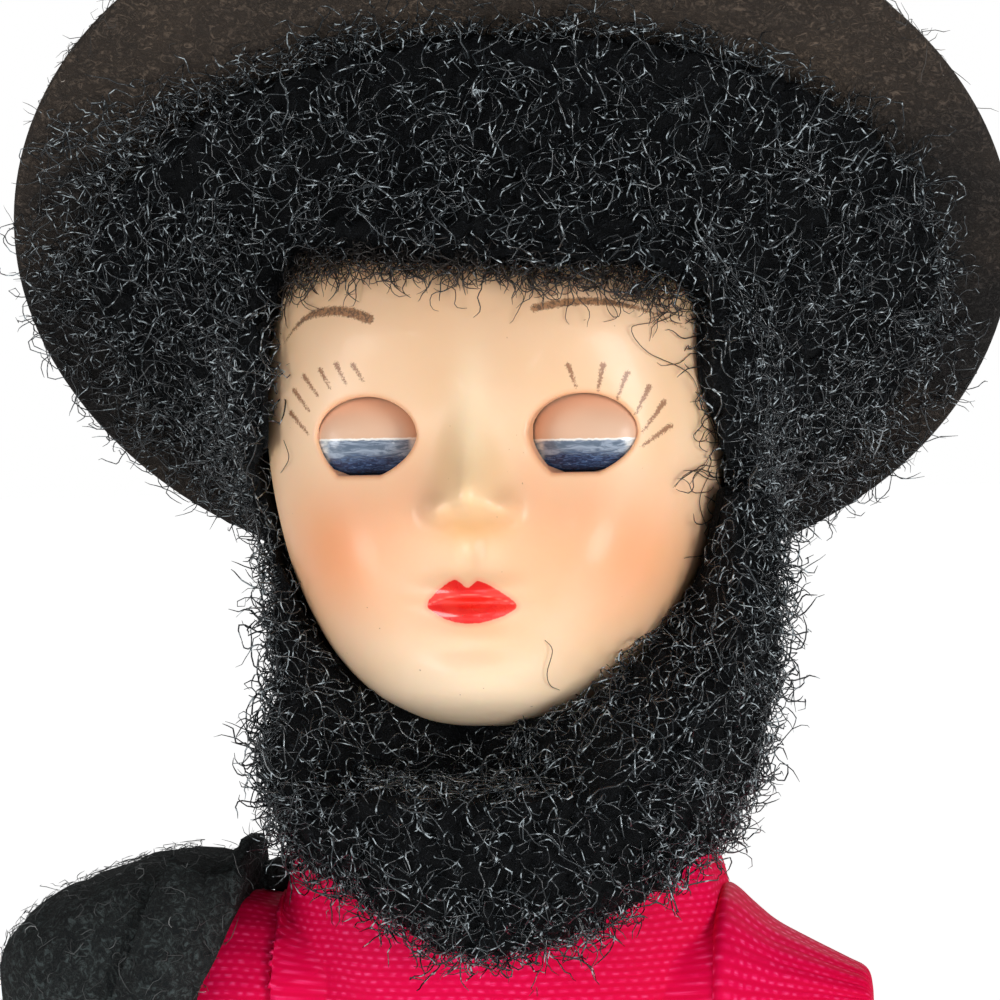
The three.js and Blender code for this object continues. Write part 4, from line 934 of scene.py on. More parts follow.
def fibre_pieces(name, paths, radius, rng, finish, body, slot, tones=None):
    """Fibres shared over as many pieces as keep each one small enough."""
    each = int(MOST_TRIANGLES / ((paths.shape[1] - 1) * 6 + 2))
    for number, start in enumerate(range(0, len(paths), each), 1):
        part = slice(start, start + each)
        width = radius[part] if np.ndim(radius) else radius
        tone = None if tones is None else tones[part]
        dress(fibres(f"{name}_{number}", paths[part], width, rng, tones=tone), finish, body, slot)


def dress(piece, finish, body, slot, *replaced):
    """Gives a piece its finish, the body that it moves with and the solids that it stands for."""
    piece.data.materials.clear()
    piece.data.materials.append(finish)
    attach(piece, body)
    if replaced:
        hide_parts(*replaced)
    return piece


def near_head(points, grow):
    """True inside the head grown by an amount."""
    width, front, back = head_section(points[:, 2], grow)
    depth = np.where(points[:, 1] < 0, front, back)
    inside = (np.abs(points[:, 0]) / width) ** HEAD_POWER + (np.abs(points[:, 1]) / depth) ** HEAD_POWER < 1
    low = EYE_LINE - HEAD_BELOW - grow
    return inside & (points[:, 2] > low) & (points[:, 2] < EYE_LINE + HEAD_ABOVE + grow)


def clear_face(core):
    """Slides whatever part of a pile stands over the face across the picture, out to the face's edge, and
    slopes the pile up from there, so that its wall keeps no light off the face."""
    points, _ = vertices_of(core.data)
    spots, depth = in_photo(points)
    edge = smooth_line(FACE_EDGE, closed=True)
    edge_y = np.minimum(face_y(*face_under(edge)), EDGE_DEPTH)
    in_front = points[:, 1] < face_y(points[:, 0], points[:, 2]) + 0.4
    over = in_front & inside_line(*spots.T, edge)
    by_face = (np.abs(spots - FRAME_PIXELS / 2) < EDGE_WINDOW).all(1)
    near = np.flatnonzero(in_front & (points[:, 1] < EDGE_DEPTH) & by_face)
    gaps = ((spots[near, None] - edge[None]) ** 2).sum(-1)
    nearest, millimetres = gaps.argmin(1), depth[near] / FOCAL_PIXELS
    rise = EDGE_WALL + EDGE_SLOPE * np.where(over[near], 0, np.sqrt(gaps.min(1)) * millimetres)
    points[near, 1] = np.maximum(points[near, 1], edge_y[nearest] - rise)
    shift = (edge[nearest] - spots[near]) * (over[near] * millimetres)[:, None]
    right, up, _ = camera_axes()
    points[near] += shift[:, :1] * right - shift[:, 1:] * up
    return move_points(core, points)


def off_face(paths, share):
    """True for each line that stays off the face, but for the band outside a share of its outline."""
    middle = np.mean(FACE_EDGE, 0)
    inner = middle + (smooth_line(FACE_EDGE, 3, closed=True) - middle) * share
    points = paths.reshape(-1, 3)
    over = inside_line(*in_photo(points)[0].T, inner) & (points[:, 1] < -2)
    return ~over.reshape(paths.shape[:2]).any(1)


def under_brim(points, gap):
    """True within a gap of the brim's underside."""
    local = in_hat(points)
    radius = np.hypot(local[:, 0], local[:, 1])
    return local[:, 2] > brim_under(radius) - gap


def pile_core(name, node, voxel, drawn_in, seed):
    """The pile's dark inside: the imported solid's outside, remeshed, and drawn in and lumpy where it
    doesn't lie against the head."""
    core = put_object(name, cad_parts[node].data.copy())
    weld = core.modifiers.new("weld", "WELD")
    weld.merge_threshold = 1e-6
    settle(core, voxel=voxel, relax=3)

    def depth(points):
        lumps = 0.28 * wobble(points, 1.5, seed) + 0.2 * wobble(points, 0.8, seed + 1) - drawn_in
        return np.where(near_head(points, 1.3), 0, lumps)

    return push(core, depth)


# Finishes


SKIN_LOW, SKIN_HIGH = (0.87, 0.58, 0.345), (0.90, 0.63, 0.41)
SKIN_GLOW = {"Subsurface_Radius": (1.0, 0.42, 0.2), "Subsurface_Scale": 0.0011, "Coat_Roughness": 0.12,
             "IOR": 1.48}
# The tints over the skin, in order: painted shade on the forehead and under the eyes, painted light on the
# chin, painted shade under the nose, a painted highlight on the nose's bridge, the nose's golden tone, and
# the blushes with painted shade beside the nose.
SKIN_TINTS = [
    ("shade", (0.66, 0.41, 0.24), 0.75), ("chin", (0.98, 0.76, 0.54), 0.9),
    ("under_nose", (0.72, 0.38, 0.17), 1.0), ("ridge", (0.99, 0.86, 0.62), 0.5),
    ("gold", (0.93, 0.58, 0.22), 0.45), ("blush", (0.93, 0.34, 0.14), 0.84),
]


def skin_finish():
    """Waxy peach plastic: a blushed, golden-nosed face with sprayed brows and lashes and red lips, painted
    shade on the forehead, round the eyes and under the nose, and painted light on the nose's bridge, the chin
    and where the lips meet.
    """
    f = Finish("skin_plastic_face", Subsurface_Weight=0.22, **SKIN_GLOW)
    color = f.mix(SKIN_LOW, SKIN_HIGH, f.noise(0.12, 2).step(0.35, 0.65))
    for mask, tint, share in SKIN_TINTS:
        color = f.mix(color, tint, f.mask(mask) * share)
    # Painted shade: oranger and darker round the eye openings and all down their walls.
    color = f.mix(color, (0.80, 0.38, 0.20), (1 - f.mask("rim").step(0.0, 0.5)) * 0.6)
    speckle = (f.noise(7.0, 2, 0.7) - 0.5) * 0.9
    brow = (f.mask("brow") + speckle * 0.6).step(-0.02, 0.16)
    ink = f.mix((0.07, 0.026, 0.010), (0.30, 0.13, 0.05), f.noise(4.0, 2, 0.7).step(0.42, 0.56))
    color = f.mix(color, ink, brow * 0.88)
    lash = (f.mask("lash") + speckle * 0.6).step(0.02, 0.17)
    color = f.mix(color, (0.24, 0.085, 0.03), lash * 0.85)
    lip = f.mask("lip")
    worn = (lip + (f.noise(3.0, 2) - 0.5) * 0.12).step(-0.03, 0.06)
    red = f.mix((0.84, 0.008, 0.004), (0.90, 0.026, 0.012), f.noise(0.5, 2).step(0.4, 0.6))
    color = f.mix(color, (0.95, 0.30, 0.2), lip.step(-0.42, 0.0) * 0.5)
    color = f.mix(color, red, worn)
    # Painted highlight: a lighter red along the line where the lips meet.
    color = f.mix(color, (0.9, 0.16, 0.12), worn * (1 - f.mask("parting").step(0.03, 0.10)) * 0.8)
    dust = f.noise(2.4, 1, 0.4).step(0.80, 0.82)
    color = f.mix(color, (0.3, 0.14, 0.07), dust * 0.6)
    f.paint(Base_Color=color, Roughness=0.36 + f.noise(0.6, 3) * 0.12 - worn * 0.14,
            Coat_Weight=0.10 + worn * 0.6)
    f.relief(f.noise(0.9, 3, 0.4), 0.03, 0.5)
    return f.material


def plain_skin_finish(name):
    """The same plastic without paint, mottled a little rosier."""
    f = Finish(name, Subsurface_Weight=0.2, **SKIN_GLOW)
    color = f.mix(SKIN_LOW, SKIN_HIGH, f.noise(0.12, 2).step(0.35, 0.65))
    color = f.mix(color, (0.90, 0.52, 0.32), f.noise(0.2, 2).step(0.55, 0.8) * 0.35)
    f.paint(Base_Color=color, Roughness=0.30 + f.noise(0.6, 3) * 0.12, Coat_Weight=0.25)
    f.relief(f.noise(0.9, 3, 0.4), 0.03, 0.5)
    return f.material


def shoe_finish():
    """Black enamel over the moulded shoe, worn to the plastic on its highest edges."""
    f = Finish("shoe_paint", Coat_Roughness=0.1, IOR=1.5)
    wear = f.noise(0.9, 4, 0.6).step(0.66, 0.7)
    f.paint(Base_Color=f.mix((0.012, 0.012, 0.013), (0.10, 0.075, 0.06), wear * 0.6),
            Roughness=0.24 + f.noise(1.2, 3) * 0.2, Coat_Weight=0.5)
    f.relief(f.noise(1.6, 3), 0.04, 0.6)
    return f.material


def eye_finish(name, side):
    """A flesh lid in painted shade over a brushed blue iris with a thin white line between, on a glossy ball.
    """
    f = Finish(name, Coat_Roughness=0.08, IOR=1.45)
    centre = to_row([side * EYE_OFFSET, EYE_CENTRE_Y, EYE_LINE])
    local = f.node("VectorMath", {"operation": "SUBTRACT"}, {0: f.place(), 1: tuple(centre)})
    local = f.stretched(local, 1 / MM, 1 / MM, 1 / MM)
    across, _, up = f.parts(local)
    bow = up + across * across * 0.045
    brush = f.noise(1.0 * MM, 4, 0.6, vector=f.stretched(local, 0.6, 0.6, 3.4), warp=1.2)
    fine = f.noise(3.0 * MM, 3, 0.6, vector=f.stretched(local, 0.7, 0.7, 3.6), warp=0.9)
    edge = up + (f.noise(2.0 * MM, 2, vector=local) - 0.5) * 0.18 + (0.02 if side > 0 else -0.24)
    upper = f.mix((0.10, 0.14, 0.20), (0.27, 0.33, 0.42), brush.step(0.38, 0.62))
    lower = f.mix((0.012, 0.028, 0.075), (0.06, 0.12, 0.25), fine.step(0.42, 0.66))
    iris = f.mix(lower, upper, (bow + (brush - 0.5) * 0.7).step(-1.45, -1.0))
    iris = f.mix(iris, (0.55, 0.58, 0.62), fine.step(0.68, 0.74) * 0.7)
    iris = f.mix(iris, (0.008, 0.014, 0.03), 1 - (up + (fine - 0.5) * 0.3).step(-2.62, -2.3))
    white = f.mix((0.62, 0.63, 0.62), (0.34, 0.38, 0.42), brush.step(0.45, 0.6))
    ends = across.size().step(2.75, 3.15)
    ball = f.mix(iris, white, ends)
    ball = f.mix(ball, (0.86, 0.84, 0.78), edge.step(-0.52, -0.40))
    # Painted shade: the lid darker than the face, and oranger and darker towards the top and sides of the
    # opening.
    lid = f.mix((0.68, 0.43, 0.29), (0.66, 0.33, 0.20), (up + across.size() * 0.35).step(0.8, 2.6) * 0.45)
    skin_side = edge.step(-0.36, -0.30)
    color = f.mix(ball, lid, skin_side)
    f.paint(Base_Color=color, Roughness=0.2 + skin_side * 0.22, Coat_Weight=0.6 - skin_side * 0.5)
    f.relief(brush * (1 - edge.step(-0.5, -0.3)), 0.05, 0.8)
    return f.material


def fibre_finish(name, dark, light, pale, pale_from=0.99, rough=0.13, glints=0.0):
    """Curled fibre: strands from a dark to a lighter tone, a few pale ones, and painted glints on them: pale
    spots that stand in for highlights.
    """
    f = Finish(name, IOR=1.55, Specular_IOR_Level=0.6)
    tone = f.mask("tone")
    color = f.mix(dark, light, tone * tone)
    color = f.mix(color, pale, tone.step(pale_from, pale_from + 0.002))
    if glints:
        # Painted highlights: pale blue-grey spots along the strands stand in for glints.
        painted_glint = f.noise(1.5, 1, 0.4).step(0.58, 0.68)
        color = f.mix(color, (0.40, 0.46, 0.49), painted_glint * glints)
    f.paint(Base_Color=color, Roughness=rough + f.noise(2.0, 2) * 0.1)
    return f.material


def core_finish():
    """The piles' dark inside, with strands that only just show."""
    f = Finish("fibre_core", IOR=1.4, Specular_IOR_Level=0.2)
    strand = f.filaments(0.8, 0.05, 2.0).most(f.filaments(1.3, 0.06, 2.6))
    f.paint(Base_Color=f.mix((0.0015, 0.002, 0.0025), (0.013, 0.015, 0.018), strand),
            Roughness=0.85 - strand * 0.4)
    f.relief(strand, 0.4, 1.0)
    return f.material


def felt_finish(name, dark, light, warm_tint_and_top_light, lit_from=0.3):
    """Wool felt: matted lumps with fine strands over them, warmer in patches, lighter and warmer above a
    given height as painted light, with pale flecks.
    """
    f = Finish(name, Sheen_Weight=0.07, Sheen_Roughness=0.6, Sheen_Tint=(0.55, 0.52, 0.5, 1), IOR=1.35,
               Specular_IOR_Level=0.25)
    mat = f.noise(0.45, 5, 0.65, warp=0.9)
    nap = f.noise(1.3, 4, 0.75, warp=1.8).step(0.42, 0.62)
    strands = f.filaments(1.9, 0.07, 1.2).most(f.filaments(2.9, 0.09, 1.6)) * mat.step(0.42, 0.6)
    color = f.mix(dark, light, (mat.step(0.38, 0.66) * 0.15 + nap * 0.55 + strands * 0.6) * nap.most(0.3))
    # Painted light: higher than a given height the felt turns lighter and warmer.
    high = f.parts(f.place())[2].step(lit_from, lit_from + 0.012)
    color = f.mix(color, warm_tint_and_top_light, (f.noise(0.09, 2).step(0.48, 0.68) * 0.3 + high * 0.5) * (0.3 + nap * 0.7))
    color = f.mix(color, (0.16, 0.14, 0.125), f.noise(5.5, 2, 0.5, warp=2.4).step(0.72, 0.78) * 0.5)
    f.paint(Base_Color=color, Roughness=0.84 + mat * 0.14)
    f.relief(mat * 0.45 + nap * 0.35 + strands * 0.2, 0.6, 1.0)
    return f.material


def taffeta_finish(name):
    """Ribbed crimson weave: short bright floats in staggered rows over slightly darker ribs, their paler pink
    partly painted sheen.
    """
    f = Finish(name, Sheen_Weight=0.02, Sheen_Roughness=0.35, Sheen_Tint=(1.0, 0.2, 0.4, 1), IOR=1.42,
               Specular_IOR_Level=0.06)
    cloth = f.cloth_map()
    slip = (f.noise(0.35 * MM, 2, vector=cloth) - 0.5) * 0.8
    u, v, _ = f.parts(cloth)
    row = v / 0.56 + slip
    within = row.fraction()
    column = u / 0.80 + (row - within) * 0.5 + slip + (f.noise(1.6 * MM, 1, vector=cloth) - 0.5) * 0.5
    across = (column.fraction() - 0.5).size()
    over = (within - 0.5).size()
    bar = (1 - across.step(0.05, 0.40)) * (1 - over.step(0.04, 0.34))
    rib = 1 - over.step(0.1, 0.5)
    thread = f.noise(2.2 * MM, 2, vector=f.stretched(cloth, 0.35, 3.0, 1.0))
    patch = f.noise(0.07, 2).step(0.35, 0.65)
    ground = f.mix((0.60, 0.0, 0.030), (0.76, 0.002, 0.070), rib * 0.4 + thread * 0.25 + patch * 0.35)
    # The floats' paler pink: partly the weave's own floats, partly painted sheen.
    bright = f.mix((0.88, 0.012, 0.12), (0.95, 0.07, 0.24), thread.step(0.4, 0.65))
    color = f.mix(ground, bright, bar * (0.35 + patch * 0.5) * f.noise(0.7, 2).step(0.3, 0.5))
    f.paint(Base_Color=color, Roughness=0.62 - bar * 0.17)
    f.relief(bar * 0.5 + rib * 0.2 + thread * 0.3, 0.04, 0.6)
    return f.material


def ribbon_finish():
    """Black ribbon, ribbed along its length."""
    f = Finish("hat_ribbon", Sheen_Weight=0.2, IOR=1.45)
    _, _, up = f.parts(f.place())
    rib = (up * (2 * np.pi / (0.3 * MM))).sine() * 0.5 + 0.5
    f.paint(Base_Color=f.mix((0.008, 0.008, 0.01), (0.03, 0.03, 0.034), rib), Roughness=0.5 - rib * 0.15)
    f.relief(rib, 0.05, 0.8)
    return f.material


def metal_finish(name, color, rough):
    """Drawn or cast metal with fine scratches that run upwards."""
    f = Finish(name, Metallic=1.0)
    scratch = f.noise(4.0, 4, 0.7, vector=f.stretched(f.place(), 1, 1, 6))
    dull = tuple(0.6 * c for c in color)
    f.paint(Base_Color=f.mix(dull, color, scratch.step(0.35, 0.65)), Roughness=rough + scratch * 0.2)
    f.relief(scratch, 0.03, 0.6)
    return f.material


def rubber_finish():
    """Aged natural rubber."""
    f = Finish("elastic_band", IOR=1.5)
    age = f.noise(1.0, 4, 0.6)
    f.paint(Base_Color=f.mix((0.42, 0.3, 0.17), (0.62, 0.48, 0.3), age.step(0.35, 0.65)),
            Roughness=0.5 + age * 0.3)
    f.relief(age, 0.05)
    return f.material


# The trunk, limbs and shoes

TRUNK_FORM = level_curve([
    (0, 0.85, 0.94), (0.08, 0.9, 1.05), (0.18, 0.9, 1.04), (0.3, 0.86, 0.94), (0.42, 0.82, 0.88),
    (0.56, 0.9, 0.97), (0.68, 0.985, 1.02), (0.78, 1.0, 1.0), (0.85, 0.985, 0.95), (0.9, 0.93, 0.9),
    (0.94, 0.85, 0.85), (0.975, 0.73, 0.8), (1.0, 0.58, 0.74),
])


def trunk_size(z):
    """Half width and half depth of the trunk at a height."""
    share = np.clip((np.asarray(z, float) - CROTCH_Z) / (BODY_TOP - CROTCH_Z), 0, 1)
    width, depth = at_level(TRUNK_FORM, share)
    return width * BODY_HALF_WIDTH, depth * BODY_HALF_DEPTH


def trunk_ring(z, angle, grow):
    """One ring of the trunk grown outwards; above the shoulders it also rises by that much."""
    width, depth = trunk_size(z)
    x, y = oval(angle, width + grow, depth + grow, power=TRUNK_POWER)
    lift = max(grow, 0) * smoothstep(z, SHOULDER_Z, BODY_TOP)
    return np.stack([x, y, np.full_like(angle, z + lift)], -1)


LEG_FORM = level_curve([
    (ANKLE_Z, ANKLE, 1.5), ((ANKLE_Z + KNEE_Z) / 2, (ANKLE + KNEE) / 2 + 0.8, 1.2), (KNEE_Z, KNEE, 0),
    ((KNEE_Z + CROTCH_Z) / 2, (KNEE + THIGH) / 2, -0.2), (CROTCH_Z - 4, THIGH, 0), (CROTCH_Z + 6, THIGH, 0),
])


def make_trunk():
    """The trunk, closed over the neck's seat, and both legs down to the ankles."""
    trunk = loft(rows_of(lambda z, a: trunk_ring(z, a, 0), np.linspace(CROTCH_Z - 1, BODY_TOP, 60), 90))
    legs = []
    for side in (-1, 1):
        def section(z, angle, side=side):
            radius, y = at_level(LEG_FORM, max(z, ANKLE_Z))
            across, along = oval(angle, radius, radius + 0.6)
            return np.stack([side * LEG_OFFSET + across, y + along, np.full_like(angle, z)], -1)
        legs.append(loft(rows_of(section, np.linspace(ANKLE_Z - 3, CROTCH_Z + 5, 50), 48)))
    return put_mesh("trunk", *several(trunk, *legs))


SHOE_LEVELS = [
    (0, 0.95, 0.985, 0), (0.35, 0.985, 0.998, 0), (1.7, 1.0, 1.0, 0), (1.95, 0.985, 0.99, 0),
    (2.15, 0.93, 0.96, 0.1), (3.4, 0.955, 0.965, 0.25), (5, 0.95, 0.93, 0.6), (6.3, 0.93, 0.86, 1.4),
    (7.5, 0.9, 0.78, 2.4), (8.6, 0.87, 0.67, 3.7), (9.5, 0.84, 0.58, 5), (11, 0.8, 0.47, 6.8),
    (ANKLE_Z, 0.76, 0.4, 8),
]


def make_shoe(name, side):
    """A low shoe: rounded rings from the sole, over a welt and a toe cap, to the ankle."""
    turn = round_angles(84)
    rings = []
    for z, width, length, centre in zip(*along_levels(SHOE_LEVELS, 84)):
        across, along = oval(turn, SHOE_HALF_WIDTH * width, SHOE_HALF_LENGTH * length, power=2.4)
        y = SHOE_HEEL - SHOE_HALF_LENGTH + centre + along
        seam = 0.16 * np.exp(-(((y + 9.5) / 0.35) ** 2)) * smoothstep(z, 2.4, 4)
        rings.append(np.stack([side * LEG_OFFSET + across * (1 - seam / 5), y, z - seam * (z > 2.2)], -1))
    return put_mesh(name, *loft(rings))


def arm_at(share):
    """The arm's middle line and radius at a share of the way from the shoulder to the wrist."""
    x = SEAT_X + RUNNING_GAP + 5 + ARM_STAND_OFF * smoothstep(share, 0, 0.2) + ARM_SPLAY * share
    y = -5.5 * share**2
    muscle = 0.25 * np.sin(np.pi * np.clip(share * 1.6, 0, 1))
    return x, y, np.interp(share, [0, 0.5, 1], [5, ELBOW, WRIST]) + muscle


ARM_BALL_X = SEAT_X + RUNNING_GAP + ARM_BALL * 0.72
WRIST_SHARE = 0.76
WRIST_Z = SHOULDER_Z - ARM_LENGTH * WRIST_SHARE


def make_arm(name, side):
    """The shoulder ball, the arm, the palm, four fingers and a thumb, remeshed into one skin."""
    turn = round_angles(40)

    def ring(x, y, z, width, front):
        across, along = oval(turn, width, front)
        return np.stack([side * x + across, y + along, np.full_like(turn, z)], -1)

    def tube(levels):
        return loft([ring(*level) for level in zip(*along_levels(levels, len(levels) * 6))])

    arm = []
    for share in np.linspace(0, 1, 40):
        x, y, radius = arm_at(share)
        arm.append(ring(x, y, SHOULDER_Z - (SHOULDER_Z - WRIST_Z) * share, radius, radius))
    x, y, _ = arm_at(1.0)
    hand = ARM_LENGTH * (1 - WRIST_SHARE)
    palm_end = WRIST_Z - hand * 0.5
    shapes = [loft(arm), tube([
        (x, y, WRIST_Z + 1, WRIST, WRIST), (x, y - 0.4, WRIST_Z - hand * 0.18, 2.1, 3.5),
        (x, y - 0.8, palm_end, 1.7, 3.9), (x, y - 0.9, palm_end - 0.8, 1.2, 3.3)])]
    for number, reach in enumerate((0.38, 0.48, 0.5, 0.42)):
        along = y - 0.8 + (number - 1.5) * 1.85
        tip = palm_end - hand * reach
        shapes.append(tube([
            (x, along, palm_end + 1.5, 1.1, 1.0), (x - 0.05, along, (palm_end + tip) / 2, 1.0, 0.93),
            (x - 0.15, along, tip + 0.9, 0.95, 0.9), (x - 0.3, along, tip, 0.4, 0.4)]))
    shapes.append(tube([
        (x, y - 2.6, WRIST_Z - 1.6, 1.2, 1.2), (x - 0.5, y - 3.9, WRIST_Z - 3.8, 1.15, 1.1),
        (x - 0.9, y - 4.8, WRIST_Z - 5.6, 1.05, 1.0), (x - 1.1, y - 5.2, WRIST_Z - 7.4, 0.5, 0.5)]))
    across = np.linspace(POLE, np.pi - POLE, 40)
    along, radius = side * ARM_BALL_X - ARM_BALL * np.cos(across), ARM_BALL * np.sin(across)
    if side > 0:
        radius = np.minimum(radius, np.interp(along, *np.array(SHOULDER_SLOPE).T) - TAFFETA - 0.25)
    along, radius, turn = np.minimum(along, SLEEVE_END_X - 0.4)[:, None], radius[:, None], round_angles(60)
    shapes.append(loft(np.stack([
        along + 0 * turn, -radius * np.cos(turn), SHOULDER_Z - radius * np.sin(turn)], -1)))
    inner = np.maximum if side > 0 else np.minimum
    for shape_points, _ in shapes:
        shape_points[:, 0] = inner(shape_points[:, 0], side * (SEAT_X + RUNNING_GAP))
    return settle(put_mesh(name, *several(*shapes)), voxel=0.38, relax=3)


# The clothes

SHIRT_OUTER = CLOTH_GAP + SHIRT_THICKNESS
TAFFETA = 0.3
COLLAR_RADIUS = NECK_RADIUS + 1.4
SHIRT_ROWS, COLLAR_ROWS, TRUNK_COLUMNS = 90, 10, 241
CAP_ROWS, CAP_COLUMNS = 54, 181
TROUSER_ROWS, TROUSER_COLUMNS = 100, 65
COAT_ROWS, COAT_COLUMNS = 84, 190
RIGHT_SLEEVE_COLUMNS = 131
LEFT_SLEEVE_ROWS, LEFT_SLEEVE_COLUMNS = 110, 141
FOLD_ROWS, FOLD_COLUMNS = 90, 24


def cloth_lengths(grid):
    """Lengths along and across a cloth grid in millimetres, measured from its middle."""
    across = np.linalg.norm(np.diff(grid, axis=1), axis=2).mean(0)
    along = np.linalg.norm(np.diff(grid, axis=0), axis=2).mean(1)
    u = np.concatenate([[0], np.cumsum(across)])
    v = np.concatenate([[0], np.cumsum(along)])
    return np.stack(np.broadcast_arrays(u[None, :] - u.mean(), v[:, None]), -1).reshape(-1, 2)


def fold_hole(points, gap, way, depth):
    """Brings the cloth back to a hole's edge. Gap is the distance outside the edge and way points away
    from the hole's middle; it gives the points, how far each was over the edge, and which stay."""
    over = (gap < 0) & (gap > -depth)
    points[over] += (-gap[over])[:, None] * way[over]
    inward = np.zeros(len(points))
    inward[over] = -gap[over]
    return points, inward, gap > -depth


def from_shoulder(points):
    """How far each point is from the shoulders' axis, and the way straight out from it."""
    away = np.stack([0 * points[:, 0], points[:, 1], points[:, 2] - SHOULDER_Z], -1)
    reach = np.linalg.norm(away, axis=1)
    return reach, away / np.maximum(reach, 1e-6)[:, None]


def make_shirt():
    """The shirt's body: trunk rings at a cloth's ease, a fuller shoulder seam, rows drawn in to the
    collar, and armholes whose edges run out to the sleeves in short tubes."""
    levels = np.concatenate([np.linspace(SHIRT_HEM, BODY_TOP, SHIRT_ROWS), np.full(COLLAR_ROWS, BODY_TOP)])
    angle = round_angles(TRUNK_COLUMNS, seam=True)
    grid = np.stack([trunk_ring(z, angle, SHIRT_OUTER) for z in levels])
    draw = np.concatenate([np.zeros(SHIRT_ROWS), np.linspace(0, 1, COLLAR_ROWS + 1)[1:]])[:, None]
    collar = np.stack([COLLAR_RADIUS * np.sin(angle), -COLLAR_RADIUS * np.cos(angle),
                       np.full_like(angle, BODY_TOP + SHIRT_OUTER + 0.35)], -1)
    grid = grid + (collar[None] - grid) * draw[..., None]
    x, y, z = (grid[..., k] for k in range(3))
    by_armhole = smoothstep(np.abs(x), 9, 14) * smoothstep(z, 118, 132)
    pull = 0.22 * np.sin(y * 0.9 + x * 0.25 + z * 0.15) * by_armhole
    blouse = 0.35 * wobble(np.stack([x * 1.6, y * 1.6, z * 0.7], -1), 15, 5) * (1 - smoothstep(z, 128, 140))
    out = np.stack([np.sin(angle), -np.cos(angle), 0 * angle], -1)[None]
    grid = grid + out * ((pull + blouse * 0.5) * (draw < 0.01))[..., None]
    puff = SHOULDER_PUFF * np.exp(-(((z - SHOULDER_PUFF_Z) / 2.2) ** 2)) * smoothstep(np.abs(x), 9, 13)
    grid[..., 0] += np.sign(x) * puff
    uv = cloth_lengths(grid)
    points = grid.reshape(-1, 3).copy()
    reach, way = from_shoulder(points)
    gap = np.where(np.abs(points[:, 0]) > SEAT_X - 3, reach - ARMHOLE, FAR)
    points, inward, keep = fold_hole(points, gap, way, ARMHOLE_TURN)
    tube = smoothstep(inward, 0, ARMHOLE_TURN / 2)
    points[:, 0] = blend_of(points[:, 0], np.sign(points[:, 0]) * ARMHOLE_TUBE_X, tube)
    points[:, 1:] += way[:, 1:] * 0.5 * tube[:, None]
    quads = kept_faces(len(levels), TRUNK_COLUMNS, keep)
    return weld_seam(put_mesh("shirt_front_and_back", points, quads, uv=uv), 0.1)


def weld_seam(piece, close=0.004):
    """Joins the first and last column of a closed sheet, and drops the points that no face uses. Points
    that a fold has heaped up at a hole's edge are joined where close is larger."""
    work = bmesh.new()
    work.from_mesh(piece.data)
    bmesh.ops.delete(work, geom=[v for v in work.verts if not v.link_faces], context="VERTS")
    bmesh.ops.remove_doubles(work, verts=work.verts, dist=close * MM)
    bmesh.ops.dissolve_degenerate(work, edges=work.edges, dist=close * MM / 2)
    work.to_mesh(piece.data)
    work.free()
    return piece


def make_shirt_sleeve(name, side):
    """A cap sleeve turned about the shoulder's axis, open where the arm leaves it. The left one follows
    the slope of the shoulder that shows, and the right one lies flat under the coat."""
    near = SEAT_X + 1
    outer = ARM_BALL + CLOTH_GAP + SHIRT_THICKNESS
    if side > 0:
        shape = [level for level in SHOULDER_SLOPE if level[0] < SLEEVE_END_X]
        shape += [(SLEEVE_END_X, 3.0), (SLEEVE_END_X + 0.35, 1.9), (SLEEVE_END_X + 0.4, 0.4)]
    else:
        shape = [(near - 0.7, ARMHOLE - 0.7), (near, ARMHOLE - 0.35), (near + 3.6, outer + 0.4),
                 (near + 7, outer - 0.15), (SLEEVE_END_X, outer - 1.1)]
    along, radius = along_levels(shape, CAP_ROWS)
    turn = round_angles(CAP_COLUMNS, seam=True)
    gather = 0.05 * np.sin(turn * 21) * smoothstep(-np.cos(turn), -0.2, 0.8)
    puff = np.sin(np.pi * np.linspace(0, 1, CAP_ROWS)) ** 0.5
    radius = radius[:, None] + gather[None] * puff[:, None]
    grid = np.stack([np.broadcast_to((side * along)[:, None], radius.shape), -radius * np.sin(turn),
                     SHOULDER_Z - radius * np.cos(turn)], -1)
    uv = cloth_lengths(grid.transpose(1, 0, 2)).reshape(CAP_COLUMNS, CAP_ROWS, 2)
    uv = uv.transpose(1, 0, 2).reshape(-1, 2)
    points = grid.reshape(-1, 3).copy()
    share = np.clip((SHOULDER_Z - points[:, 2]) / (SHOULDER_Z - WRIST_Z), 0, 1)
    x, y, arm = arm_at(share)
    away = np.stack([points[:, 0] - side * x, points[:, 1] - y, 0 * x], -1)
    reach = np.linalg.norm(away, axis=1)
    gap = np.where(points[:, 2] < SHOULDER_Z - (3 if side < 0 else -0.3), reach - arm - 0.5, FAR)
    points, inward, keep = fold_hole(points, gap, away / np.maximum(reach, 1e-6)[:, None], 0.7)
    points[:, 2] += inward
    quads = kept_faces(CAP_ROWS, CAP_COLUMNS, keep)
    if side < 0:
        quads = quads[:, ::-1]
    return weld_seam(put_mesh(name, points, quads, uv=uv))


